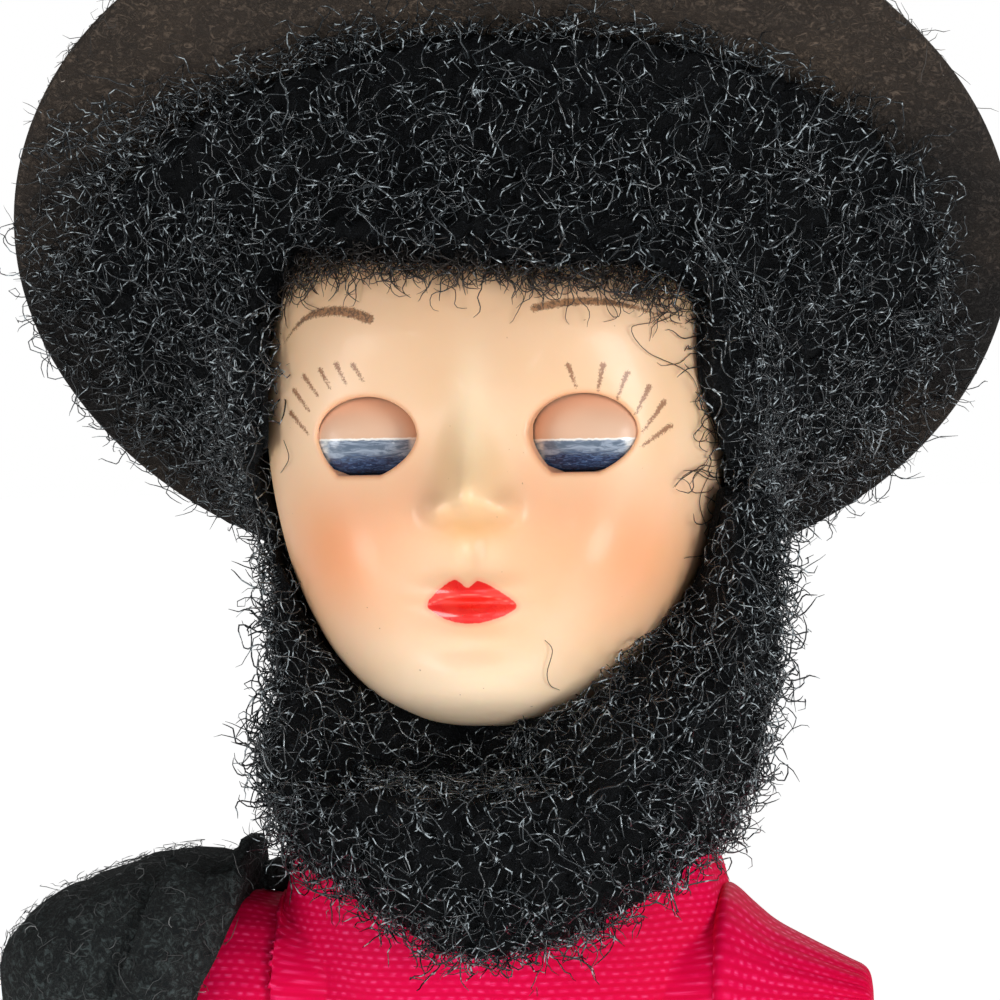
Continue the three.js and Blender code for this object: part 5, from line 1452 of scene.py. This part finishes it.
def make_trousers():
    """Both trouser legs. Above the crotch a leg's ring turns into its half of the seat, closed along
    the middle seam, as the cut of real trousers does."""
    over_shirt = SHIRT_OUTER + CLOTH_GAP + FELT_THICKNESS
    top = WAIST_Z - WAISTBAND_HEIGHT + 0.15
    form = level_curve([
        (TROUSER_HEM, ANKLE + 2.2, 1.3), ((TROUSER_HEM + KNEE_Z) / 2, KNEE + 0.8, 1.5),
        (KNEE_Z, KNEE + 0.8, 0.2), (CROTCH_Z - 4, THIGH, 0), (top, THIGH, 0)])
    ease = 0.5
    angle = round_angles(TROUSER_COLUMNS, seam=True)
    pieces = []
    for side in (-1, 1):
        rows = []
        for z in np.linspace(TROUSER_HEM, top, TROUSER_ROWS):
            radius, y0 = at_level(form, z)
            across, along = oval(angle, radius + ease / 2 + CLOTH_GAP + FELT_THICKNESS,
                                 radius + ease + CLOTH_GAP + FELT_THICKNESS + 0.8)
            leg_x, leg_y = LEG_OFFSET + ease / 2 + across, y0 + along
            width, depth = trunk_size(z)
            seat_x, seat_y = oval(angle, width + over_shirt, depth + over_shirt, power=TRUNK_POWER)
            seat_x = np.maximum(seat_x, 0.02)
            share = smoothstep(z, CROTCH_Z - 8, CROTCH_Z - 0.5)
            x, y = blend_of(leg_x, seat_x, share), blend_of(leg_y, seat_y, share)
            outer = smoothstep(x, 0.2, 3)
            fold = 0.32 * np.sin(z * 0.62 + 1.5 * np.sin(angle) + side) * np.exp(-(((z - KNEE_Z) / 11) ** 2))
            fold = fold + 0.35 * np.sin(z * 0.8 + 2 * angle) * np.exp(-(((z - 16) / 7) ** 2))
            crease = 0.35 * np.exp(-((np.sin(angle / 2) / 0.1) ** 2)) * smoothstep(z, 20, 60) * (1 - share)
            y = y + (fold * -np.cos(angle) - crease) * outer
            x = x + fold * np.sin(angle) * outer * 0.7
            rows.append(np.stack([side * x, y, np.full_like(angle, z)], -1))
        faces = grid_faces(TROUSER_ROWS, TROUSER_COLUMNS)
        pieces.append((np.stack(rows).reshape(-1, 3), [faces if side > 0 else faces[:, ::-1]]))
    return weld_seam(put_mesh("trouser_legs", *several(*pieces)))


def make_waistband():
    """The waistband: trunk rings that bow out a little halfway up."""
    over = SHIRT_OUTER + CLOTH_GAP + FELT_THICKNESS + 0.3
    angle = round_angles(TRUNK_COLUMNS, seam=True)
    rows = []
    for share in np.linspace(0, 1, 30):
        z = WAIST_Z - WAISTBAND_HEIGHT + share * WAISTBAND_HEIGHT
        row = trunk_ring(z, angle, over + 0.12 * math.sin(math.pi * share))
        row[:, 2] = z
        rows.append(row)
    faces = grid_faces(len(rows), TRUNK_COLUMNS)
    return weld_seam(put_mesh("waistband", np.stack(rows).reshape(-1, 3), faces))


COAT_INNER = SHIRT_OUTER + CLOTH_GAP + FELT_THICKNESS + 0.3 + CLOTH_GAP


def coat_size(z):
    """Half width and half depth of the coat's inside at a height."""
    width, depth = trunk_size(z)
    half = np.maximum(width, 0.93 * BODY_HALF_WIDTH) + COAT_INNER
    flare = 2.4 * (1 - smoothstep(z, COAT_HEM, WAIST_Z))
    return np.minimum(half, COAT_HALF_WIDTH - FELT_THICKNESS), depth + COAT_INNER + flare


def make_coat():
    """The coat's back and fronts as one sheet, from the left front edge round the back to the right
    one. Each column runs from the hem to a top edge that slants down to the left side."""
    share = np.linspace(0, 1, COAT_COLUMNS)
    grid = np.empty((COAT_ROWS, COAT_COLUMNS, 3))
    for r, u in enumerate(np.linspace(0, 1, COAT_ROWS)):
        left_z, right_z = (COAT_HEM + u * (top - COAT_HEM) for top in (COAT_TOP_LEFT, COAT_TOP_RIGHT))
        left_x = blend_of(COAT_HEM_HALF + 0.5, COAT_FRONT_HALF - 1, u)
        open_share = min((right_z - COAT_HEM) / (COAT_FRONT_BEND_Z - COAT_HEM), 1)
        right_x = blend_of(COAT_HEM_HALF - 0.5, COAT_SIDE, open_share)
        left_width, right_width = (coat_size(z)[0] + FELT_THICKNESS for z in (left_z, right_z))
        first = math.asin(min((left_x / left_width) ** (COAT_POWER / 2), 1))
        last = 2 * math.pi - math.asin(min((right_x / right_width) ** (COAT_POWER / 2), 1))
        angle = first + (last - first) * share
        width, depth = coat_size(left_z)
        x, _ = oval(angle, width + FELT_THICKNESS, depth + FELT_THICKNESS, power=COAT_POWER)
        back_top = np.interp(x, [-18, -11, 4, 19],
                             [COAT_TOP_RIGHT, COAT_TOP_RIGHT, COAT_TOP_RIGHT - 3, COAT_TOP_LEFT])
        front_top = np.where(x > 0, COAT_TOP_LEFT, SHOULDER_Z + ARMHOLE - 1.5)
        z = COAT_HEM + u * (np.where(np.cos(angle) > 0, front_top, back_top) - COAT_HEM)
        width, depth = coat_size(z)
        x, y = oval(angle, width + FELT_THICKNESS, depth + FELT_THICKNESS, power=COAT_POWER)
        hang = smoothstep(120 - z, 0, 30)
        ripple = 0.55 * np.sin(angle * 9 + 0.5) * hang + 0.25 * wobble(np.stack([x, y, z * 0.35], -1), 9, 17)
        ripple = ripple * smoothstep(np.abs(share - 0.5), 0.5, 0.46) * (np.abs(x) < 17.6)
        grid[r] = np.stack([x, y - np.cos(angle) * np.clip(ripple, -0.3, 0.6), z], -1)
    uv = cloth_lengths(grid)
    points = grid.reshape(-1, 3).copy()
    reach, way = from_shoulder(points)
    gap = np.where(points[:, 0] < -8, reach - ARMHOLE - 0.4, FAR)
    points, _, keep = fold_hole(points, gap, way, 0.5)
    quads = kept_faces(COAT_ROWS, COAT_COLUMNS, keep)
    return weld_seam(put_mesh("coat_back_and_fronts", points, quads, uv=uv))


SLEEVE_INNER_X = COAT_HALF_WIDTH + RUNNING_GAP
SLEEVE_TOP_Z = SHOULDER_Z + COAT_SLEEVE_RISE
FOLD_STAND_OFF = 0.7
COAT_SHOULDER = [(-38.2, 136.6), (-35.2, 139.5), (-31.6, 141.3), (-28.1, 142.3), (-24.5, 142.8),
                 (-22.1, 142.7), (-19.7, 143.4), (-18.6, 144.2)]
FRONT_EDGE = [(122, -SLEEVE_INNER_X), (128, -22.6), (134.3, -21.7), (137.2, -20.4), (142.4, -SLEEVE_INNER_X)]


def sleeve_ring(share, angle, grow):
    """The right sleeve's section at a share of the way from the shoulder's top to the cuff."""
    z = blend_of(SLEEVE_TOP_Z, COAT_SLEEVE_END_Z, share)
    above = 1 - min((SLEEVE_TOP_Z - z) / COAT_SHOULDER_DROP, 1)
    wide, deep = max(1 - above**2, 0.1), max(math.sqrt(1 - above**2), 0.25)
    taper = float(smoothstep(share, 0.25, 1))
    slim = float(smoothstep(share, 0.18, 0.7))
    half = blend_of(COAT_SLEEVE_HALF, COAT_CUFF_HALF, slim) * wide
    crease = 0.5 * math.sin(share * 9 * math.pi) * taper * (1 - taper) * 4
    x, y = oval(angle, half + grow, blend_of(13.2, 7.2, share) * deep + grow + crease, power=2.8)
    return np.stack([x + 0.1 - SLEEVE_INNER_X - half, y - 5 * taper, np.full_like(angle, z + grow)], -1)


def front_edge_x(z):
    """Where the sleeve's front is drawn back from the shirt: a line that slants out down the shoulder."""
    return np.interp(z, *np.array(FRONT_EDGE).T)


def slope_shoulder(points, top):
    """Brings the sleeve's head to the shoulder's line: heights over the arm's axis change in proportion.
    Top is the head's own line, as places across and heights."""
    line, own = (np.interp(points[:, 0], *np.array(levels).T) for levels in (COAT_SHOULDER, top))
    ratio = np.clip((line - SHOULDER_Z) / np.maximum(own - SHOULDER_Z, 1), 0.75, 1.25)
    over = np.maximum(points[:, 2] - SHOULDER_Z, 0)
    points[:, 2] += over * (ratio - 1)
    return points


def head_line(points):
    """The highest point of a sleeve in each of a row of slices across it."""
    slices = np.linspace(points[:, 0].min() + 0.5, points[:, 0].max() - 0.2, 26)
    return [(x, points[np.abs(points[:, 0] - x) < 0.6, 2].max()) for x in slices]


def make_right_sleeve():
    """The right coat sleeve: closed rings from the shoulder's top to the cuff, flattened where they
    meet the coat, with an elbow's cross folds."""
    shares = np.concatenate([[0], np.linspace(0.04, 1, 100) ** 1.5])
    angle = round_angles(RIGHT_SLEEVE_COLUMNS, seam=True)
    grid = np.stack([sleeve_ring(s, angle, 0) for s in shares])
    fold = 0.28 * np.sin(grid[..., 2] * 0.75 + 1.3 * np.sin(angle)) * smoothstep(shares, 0.3, 0.6)[:, None]
    outer = smoothstep(-grid[..., 0], SLEEVE_INNER_X + 2, SLEEVE_INNER_X + 6)
    grid[..., 0] -= fold * outer
    grid[..., 1] += fold * -np.cos(angle) * 0.8 * outer
    points = grid.reshape(-1, 3)
    drawn_back = blend_of(front_edge_x(points[:, 2]), -SLEEVE_INNER_X, smoothstep(points[:, 1], -4, 2))
    points[:, 0] = np.minimum(points[:, 0], drawn_back)
    top = head_line(points)
    points = slope_shoulder(points, top)
    faces = grid_faces(len(shares), RIGHT_SLEEVE_COLUMNS)[:, ::-1]
    return weld_seam(put_mesh("right_sleeve", points, faces, uv=cloth_lengths(grid))), top


def make_front_fold(top):
    """The coat's front edge turned back over the sleeve's head: a strip of the sleeve's surface that
    stands off it, between two lines drawn from the shoulder to the chest, and sinks into it outside."""
    across = np.linspace(0, 1, FOLD_COLUMNS)
    angle = np.linspace(-1.5, 1.5, 400)
    rows = []
    for share in np.linspace(0.035, 0.60, FOLD_ROWS):
        ring = sleeve_ring(share, angle, FOLD_STAND_OFF)
        ring[:, 2] -= FOLD_STAND_OFF * 0.8
        z = ring[0, 2]
        inner = float(front_edge_x(z)) - 0.2
        outer = inner - COAT_FOLD_WIDTH * blend_of(0.6, 1, smoothstep(z, COAT_FOLD_END_Z, SHOULDER_Z))
        order = np.argsort(ring[:, 0])
        x = np.clip(blend_of(inner, outer, across), ring[:, 0].min() + 0.05, ring[:, 0].max() - 0.05)
        y = np.interp(x, ring[order, 0], ring[order, 1])
        roll = 0.2 * np.sin(np.pi * across) - 0.75 * smoothstep(across, 0.55, 1)
        rows.append(np.stack([x, y - roll, np.full_like(x, z)], -1))
    grid = np.stack([row for row in rows if row[0, 2] >= COAT_FOLD_END_Z])
    points = slope_shoulder(grid.reshape(-1, 3), top)
    faces = grid_faces(len(grid), FOLD_COLUMNS)[:, ::-1]
    return put_mesh("front_fold", points, faces, uv=cloth_lengths(points.reshape(grid.shape)))


def make_left_sleeve():
    """The slipped left sleeve: a loose tube round the forearm, bunched in rolls."""
    angle = round_angles(LEFT_SLEEVE_COLUMNS, seam=True)
    rows = []
    for share in np.linspace(0, 1, LEFT_SLEEVE_ROWS):
        z = blend_of(COAT_TOP_LEFT - 2, COAT_SLEEVE_END_Z, share)
        bunch = 0.4 * math.sin(share * 3.5 * math.pi)
        x, y = oval(angle, blend_of(7.4, 6.6, share), blend_of(8.6, 7, share) + bunch, power=2.2)
        roll = 0.3 * np.sin(share * 26 + 1.4 * np.sin(angle + 0.4)) * smoothstep(x, -4, 1)
        x, y = x + roll * np.sin(angle), y - roll * np.cos(angle)
        x = x + SLEEVE_INNER_X + blend_of(7.5, 7.2, share)
        rows.append(np.stack([x, y + blend_of(-0.6, -4.4, share), np.full_like(angle, z)], -1))
    grid = np.stack(rows)
    faces = grid_faces(LEFT_SLEEVE_ROWS, LEFT_SLEEVE_COLUMNS)[:, ::-1]
    return weld_seam(put_mesh("left_sleeve", grid.reshape(-1, 3), faces, uv=cloth_lengths(grid)))


# Hair, beard and fuzz

CURL_STEPS, CURL_TURN = 9, 1.1
FUZZ_STEPS, FUZZ_TURN = 4, 0.9


def fuller_corner(points):
    """How much further the beard stands out where it lies on the coat's shoulder."""
    side = smoothstep(-points[:, 0], 9, 14)
    return 1.3 * side * smoothstep(points[:, 2], 139, 144) * (1 - smoothstep(points[:, 2], 150, 157))


def open_side(points, normals):
    """True where a root isn't against the head or the brim."""
    against_brim = (normals @ HAT_AXES[:, 2] > 0.5) & under_brim(points, 2.4)
    return ~near_head(points + normals * 0.4, 0.45) & ~against_brim


def make_curls(name, core, finish, count, seed, length, height, face_share):
    """Curled fibres rooted all over a pile's open side, but for those that would hang over the face."""
    rng = np.random.default_rng(seed)
    roots, normals = scatter(core.data, count, rng, open_side)
    clear = off_face(roots[:, None], face_share)
    roots, normals = roots[clear], normals[clear]
    count = len(roots)
    paths = curled(rng, roots, normals, rng.uniform(*length, count), CURL_STEPS, CURL_TURN,
                   rng.uniform(0.2, 1.5, count), rng.uniform(*height, count))
    paths = paths[off_face(paths, min(face_share, 0.98))]
    fibre_pieces(name, paths, rng.uniform(0.045, 0.078, len(paths)), rng, finish, "head", "curled_fibre")


def make_brim_curls(finish):
    """Sparser curls that have crept out over the underside of the brim, less far in front."""
    rng = np.random.default_rng(13)
    count = 2800
    angle = rng.uniform(-180, 180, count)
    reach = np.interp(angle, *np.array(HAIR_REACH).T)
    radius = reach - 4 + 6.5 * rng.random(count) ** 1.5
    radius = np.where(radius > BRIM_RADIUS - 1, BRIM_RADIUS - 4 * rng.random(count), radius)
    turn = np.radians(angle)
    under = brim_under(radius)
    roots = on_head(np.stack([radius * np.cos(turn), radius * np.sin(turn), under], -1))
    normals = np.broadcast_to(on_head([0, 0, -1]) - HAT_PLACE, roots.shape)
    paths = curled(rng, roots, normals, rng.uniform(2.5, 8, count), CURL_STEPS, CURL_TURN,
                   rng.uniform(0, 1.2, count), rng.uniform(0.4, 2.0, count))
    local = in_hat(paths)
    reach = np.hypot(local[..., 0], local[..., 1]).max(1)
    fibre_pieces("brim_curls", paths[reach < BRIM_RADIUS + 1.5], 0.052, rng, finish, "head", "curled_fibre")


def front_half(points, normals):
    """True on the brim's front, on its underside and its edge."""
    return (points[:, 1] < -4) & (normals @ HAT_AXES[:, 2] < 0.3)


def make_fuzz(name, piece, count, seed, finish, body, slot, radius, keep=None, height=0.9):
    """Fine loose wool over a felt piece, or over the places of it that keep says."""
    rng = np.random.default_rng(seed)
    roots, normals = scatter(piece.data, count, rng, keep)
    count = len(roots)
    paths = curled(rng, roots, normals, rng.uniform(1.2, 3.6, count), FUZZ_STEPS, FUZZ_TURN,
                   rng.uniform(0, 1.0, count), rng.uniform(0.2, height, count), sink=0.05)
    fibre_pieces(name, paths, rng.uniform(radius * 0.7, radius * 1.3, count), rng, finish, body, slot)


STRAYS = [
    [(640, 296), (655, 320), (632, 328), (648, 352), (688, 372), (700, 398), (690, 402)],
    [(545, 640), (553, 650), (548, 672), (551, 685), (560, 690)],
    [(704, 300), (718, 350), (700, 392), (716, 440), (690, 484)],
    [(300, 262), (312, 286), (305, 301), (322, 310)],
    [(560, 262), (574, 283), (600, 291), (618, 315), (604, 322)],
    [(612, 268), (622, 294), (650, 300), (668, 322)],
    [(284, 440), (290, 458), (281, 473)],
    [(712, 470), (700, 502), (711, 540), (700, 560)],
]


def make_strays(finish):
    """Single hairs that lie on the forehead, the temple and the chin, a little off the skin."""
    rng = np.random.default_rng(14)
    steps = 36
    lines = []
    for stray in STRAYS:
        line = smooth_line(stray, steps=8)
        line = line[np.linspace(0, len(line) - 1, steps).astype(int)]
        x, z = face_under(line)
        lift = 0.12 + 0.35 * np.sin(np.linspace(0, np.pi, steps))
        lines.append(np.stack([x, face_y(x, z) - lift, z], -1))
    piece = fibres("stray_hairs", np.array(lines), 0.038, rng, tip=0.5, tones=np.full(len(lines), 0.9))
    return dress(piece, finish, "head", "curled_fibre")


def make_hairline(name, finish, count, seed, length, radius, stand_off, curl, tones):
    """The fringe: curls that come out from under the hair's edge and lie on the forehead and on one
    temple. Their headings wander as they run down the face, a little way off it."""
    rng = np.random.default_rng(seed)
    on_top = rng.random(count) < 0.93
    half = HEAD_HALF_WIDTH * 0.9
    x = np.where(on_top, rng.uniform(-half + 0.6, half - 0.6, count),
                 half * rng.uniform(1.05, 1.12, count))
    hairline = EYE_LINE + HAIRLINE_RISE - HAIRLINE_SLANT * x
    corner = 2.6 * smoothstep(np.abs(x), 9.5, half)
    z = np.where(on_top, hairline + rng.uniform(-0.2, 2.6, count) - corner * rng.random(count),
                 hairline - rng.uniform(0, 18, count))
    steps = 12
    step = (rng.uniform(*length, count) * rng.random(count) ** 0.5 / steps)[:, None]
    aim = np.where(on_top, -np.pi / 2, np.pi * 1.38)[:, None] + rng.normal(0, 0.6, (count, 1))
    turn = aim + np.cumsum(drift(rng, count, steps, 3) * step / curl, axis=1)
    flat = np.zeros((count, 1))
    px = np.clip(x[:, None] + np.hstack([flat, np.cumsum(np.cos(turn) * step, axis=1)]), -15.4, 17.3)
    pz = z[:, None] + np.hstack([flat, np.cumsum(np.sin(turn) * step, axis=1)])
    lift = rng.uniform(0.08, stand_off, (count, 1)) * (0.5 + np.sin(np.linspace(0, np.pi, steps + 1)))
    py = face_y(px.ravel(), pz.ravel()).reshape(px.shape) - lift
    fibre_pieces(name, np.stack([px, py, pz], -1), radius, rng, finish, "head", "curled_fibre",
                 tones=rng.uniform(*tones, count))


# The room


def make_room():
    """A plain pale floor, soft lights and the photograph's camera."""
    near, back = FLOOR_EDGE, FLOOR_BACK
    points = np.array([(-near, -near, 0), (near, -near, 0), (near, back, 0), (-near, back, 0)], float)
    floor = put_mesh("floor", points, np.array([[0, 1, 2, 3]]), smooth=False)
    f = Finish("pale_floor", Emission_Strength=1.0)
    seen_straight = f.node("LightPath", out="Is Camera Ray")
    f.paint(Base_Color=f.mix((0.86, 0.86, 0.86), (0.9, 0.9, 0.9), f.noise(0.004, 3)),
            Roughness=0.8 + f.noise(0.01) * 0.1,
            Emission_Color=f.mix((FLOOR_LIGHT,) * 3, (FLOOR_GLOW,) * 3, seen_straight))
    floor.data.materials.append(f.material)
    world = bpy.data.worlds.new("studio")
    world.use_nodes = True
    background = world.node_tree.nodes["Background"]
    background.inputs["Color"].default_value = (1, 1, 1, 1)
    seen = world.node_tree.nodes.new("ShaderNodeLightPath")
    level = world.node_tree.nodes.new("ShaderNodeMapRange")
    level.inputs["To Min"].default_value = WORLD_LIGHT
    level.inputs["To Max"].default_value = 1.0
    world.node_tree.links.new(seen.outputs["Is Camera Ray"], level.inputs["Value"])
    world.node_tree.links.new(level.outputs["Result"], background.inputs["Strength"])
    bpy.context.scene.world = world
    aim = Vector(to_row((0, -8, 168)))
    for name, place, size, power in LIGHTS:
        data = bpy.data.lights.new(name, "AREA")
        data.shape, data.size, data.energy = "DISK", size * MM, power
        lamp = put_object(name, data)
        lamp.location = to_row(place)
        lamp.rotation_mode = "QUATERNION"
        lamp.rotation_quaternion = (aim - lamp.location).to_track_quat("-Z", "Y")
    right, up, forward = camera_axes()
    data = bpy.data.cameras.new("photograph")
    data.sensor_width = 36
    data.lens = FOCAL_PIXELS / FRAME_PIXELS * data.sensor_width
    data.clip_start, data.clip_end = 0.01, 50
    camera = put_object("photograph", data)
    turn = Matrix((right, up, -forward)).transposed().to_4x4()
    camera.matrix_world = Matrix.Translation(to_row(camera_place())) @ turn
    bpy.context.scene.camera = camera
    bpy.context.scene.view_settings.view_transform = "Standard"


WORLD_LIGHT, FLOOR_LIGHT, FLOOR_GLOW = 0.25, 0.2, 0.8
FLOOR_EDGE, FLOOR_BACK = 4000, 9000
LIGHTS = [
    ("front", (40, -420, 210), 150, 0.11),
    ("right", (310, -280, 150), 180, 1.0),
    ("left", (-300, -290, 150), 180, 0.60),
    ("glint_right", (150, -400, 270), 14, 0.045),
    ("glint_left", (-120, -420, 240), 14, 0.035),
    ("glint_low", (60, -400, 100), 14, 0.03),
    ("back", (120, 420, 420), 300, 0.9),
]


# The doll, put together


def dress_head():
    """The face, the back of the head, the neck and the eyes."""
    skin = skin_finish()
    plain = plain_skin_finish("skin_plastic_plain")
    dress(make_face(), skin, "head", "skin_plastic", "face_shell")
    dress(make_head_back(), plain, "head", "skin_plastic", "head_back_shell")
    dress(make_neck(), plain, "head", "skin_plastic")
    for name, side in (("left", 1), ("right", -1)):
        dress(make_eye(f"eyeball_{name}", side), eye_finish(f"eye_enamel_{name}", side), "eyes",
              "eye_enamel", f"eye_{name}")


def dress_hair():
    """The dark insides of hair and beard, and every curl and single hair over them."""
    curls = fibre_finish("curled_fibre", (0.007, 0.009, 0.011), (0.045, 0.054, 0.060), (0.25, 0.27, 0.28),
                         0.993, 0.14, 1.0)
    fine = fibre_finish("fine_hair", (0.010, 0.008, 0.007), (0.05, 0.028, 0.02), (0.05, 0.028, 0.02),
                        rough=0.4)
    inside = core_finish()
    hair = pile_core("hair_core", "hair_pile", 0.6, 0.55, 21)
    beard = pile_core("beard_core", "beard_pile", 0.5, 0.5, 22)
    push(beard, fuller_corner)
    for pile in (hair, beard):
        clear_face(pile)
    dress(hair, inside, "head", "curled_fibre", "hair_pile")
    dress(beard, inside, "head", "curled_fibre", "beard_pile")
    make_curls("hair_curls", hair, curls, 5500, 11, (3.5, 9.0), (0.9, 2.7), FRINGE_BAND)
    make_curls("beard_curls", beard, curls, 5100, 12, (3.0, 6.6), (0.8, 2.1), JAW_BAND)
    make_brim_curls(curls)
    make_strays(fine)
    make_hairline("hairline_curls", fine, 420, 15, (2.4, 5.5), 0.04, 1.0, 0.6, (0.1, 0.95))
    make_hairline("fringe_curls", fine, 760, 16, (2.0, 4.6), 0.05, 2.2, 0.6, (0.0, 0.4))


def dress_hat():
    """The brim, the crown and the ribbon, with loose wool on the felt."""
    felt = felt_finish("hat_felt", (0.005, 0.0045, 0.0045), (0.044, 0.040, 0.038), (0.175, 0.125, 0.088),
                       0.190)
    wool = fibre_finish("felt_wool", (0.012, 0.011, 0.010), (0.085, 0.074, 0.066), (0.36, 0.32, 0.28),
                        0.985, 0.6)
    brim = dress(make_brim(), felt, "head", "hat_felt", "hat_brim")
    crown = dress(make_crown(), felt, "head", "hat_felt", "hat_crown")
    dress(make_band(), ribbon_finish(), "head", "hat_ribbon", "hat_band")
    make_fuzz("brim_wool", brim, 4400, 31, wool, "head", "hat_felt", 0.032, front_half, height=0.8)
    make_fuzz("brim_top_wool", brim, 1400, 33, wool, "head", "hat_felt", 0.026, height=0.7)
    make_fuzz("crown_wool", crown, 1000, 32, wool, "head", "hat_felt", 0.026)


def dress_body():
    """The trunk with its legs, the painted shoes and the arms."""
    plain = plain_skin_finish("skin_plastic_body")
    shoes = shoe_finish()
    dress(make_trunk(), plain, "torso", "skin_plastic", "body_front_shell", "body_back_shell")
    for name, side in (("left", 1), ("right", -1)):
        dress(make_shoe(f"shoe_{name}", side), shoes, "torso", "skin_plastic")
        dress(make_arm(f"moulded_arm_{name}", side), plain, f"{name}_arm", "skin_plastic", f"arm_{name}")


def dress_clothes():
    """The shirt, the trousers and the coat: each garment's cloth over the body under it."""
    taffeta = taffeta_finish("crimson_taffeta")
    felt = felt_finish("coat_felt", (0.005, 0.007, 0.008), (0.070, 0.090, 0.090), (0.02, 0.028, 0.030))
    wool = fibre_finish("coat_wool", (0.012, 0.014, 0.015), (0.10, 0.108, 0.108), (0.30, 0.31, 0.31),
                        0.98, 0.6)
    shirt = dress(thicken(make_shirt(), TAFFETA), taffeta, "torso", "crimson_taffeta", "shirt_body")
    for name, side in (("left", 1), ("right", -1)):
        cap = thicken(make_shirt_sleeve(f"shirt_cap_{name}", side), TAFFETA)
        sleeve = dress(cap, taffeta, f"{name}_arm", "crimson_taffeta", f"shirt_sleeve_{name}")
    waistband = make_waistband()
    right_sleeve, head_top = make_right_sleeve()
    felt_sheets = [
        (waistband, "torso", "trouser_waistband", None, None, None, 41),
        (make_trousers(), "torso", "trousers", (0.1, 0.094), "hung", "body_front_shell", 40),
        (make_coat(), "torso", "coat_body", (0.085, 0.062), "hung", "shirt_body", 42),
        (right_sleeve, "right_arm", "coat_sleeve_right", (0.05, 0.054), "hung", "arm_right", 43),
        (make_front_fold(head_top), "right_arm", "coat_front_fold", (0.01, 0.0245), "folded",
         "coat_sleeve_right", 44),
        (make_left_sleeve(), "left_arm", "coat_sleeve_left", (0.048, 0.025), "gathered", "arm_left", 45),
    ]
    for piece, body, node, flat, held, under, seed in felt_sheets:
        settle(thicken(piece, FELT_THICKNESS - 0.1))
        dress(piece, felt, body, "coat_felt", node)
        if flat:
            on_it = [waistband] if node == "trousers" else []
        amount = int(triangles_of(piece.data)[1].sum() * (0.5 if body == "right_arm" else 0.06))
        make_fuzz(f"{piece.name}_wool", piece, amount, seed, wool, body, "coat_felt", 0.034, height=0.6)


def dress_hidden_works():
    """The wires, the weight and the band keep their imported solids."""
    steel = metal_finish("steel_wire", (0.6, 0.6, 0.58), 0.25)
    lead = metal_finish("lead_weight", (0.33, 0.34, 0.36), 0.5)
    for node, finish in {"eye_rocker": steel, "eye_weight": lead, "neck_hook": steel, "arm_hook_left": steel,
                         "arm_hook_right": steel, "stringing_band": rubber_finish()}.items():
        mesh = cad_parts[node].data
        mesh.materials.clear()
        mesh.materials.append(finish)


make_room()
dress_head()
dress_hair()
dress_hat()
dress_body()
dress_clothes()
dress_hidden_works()
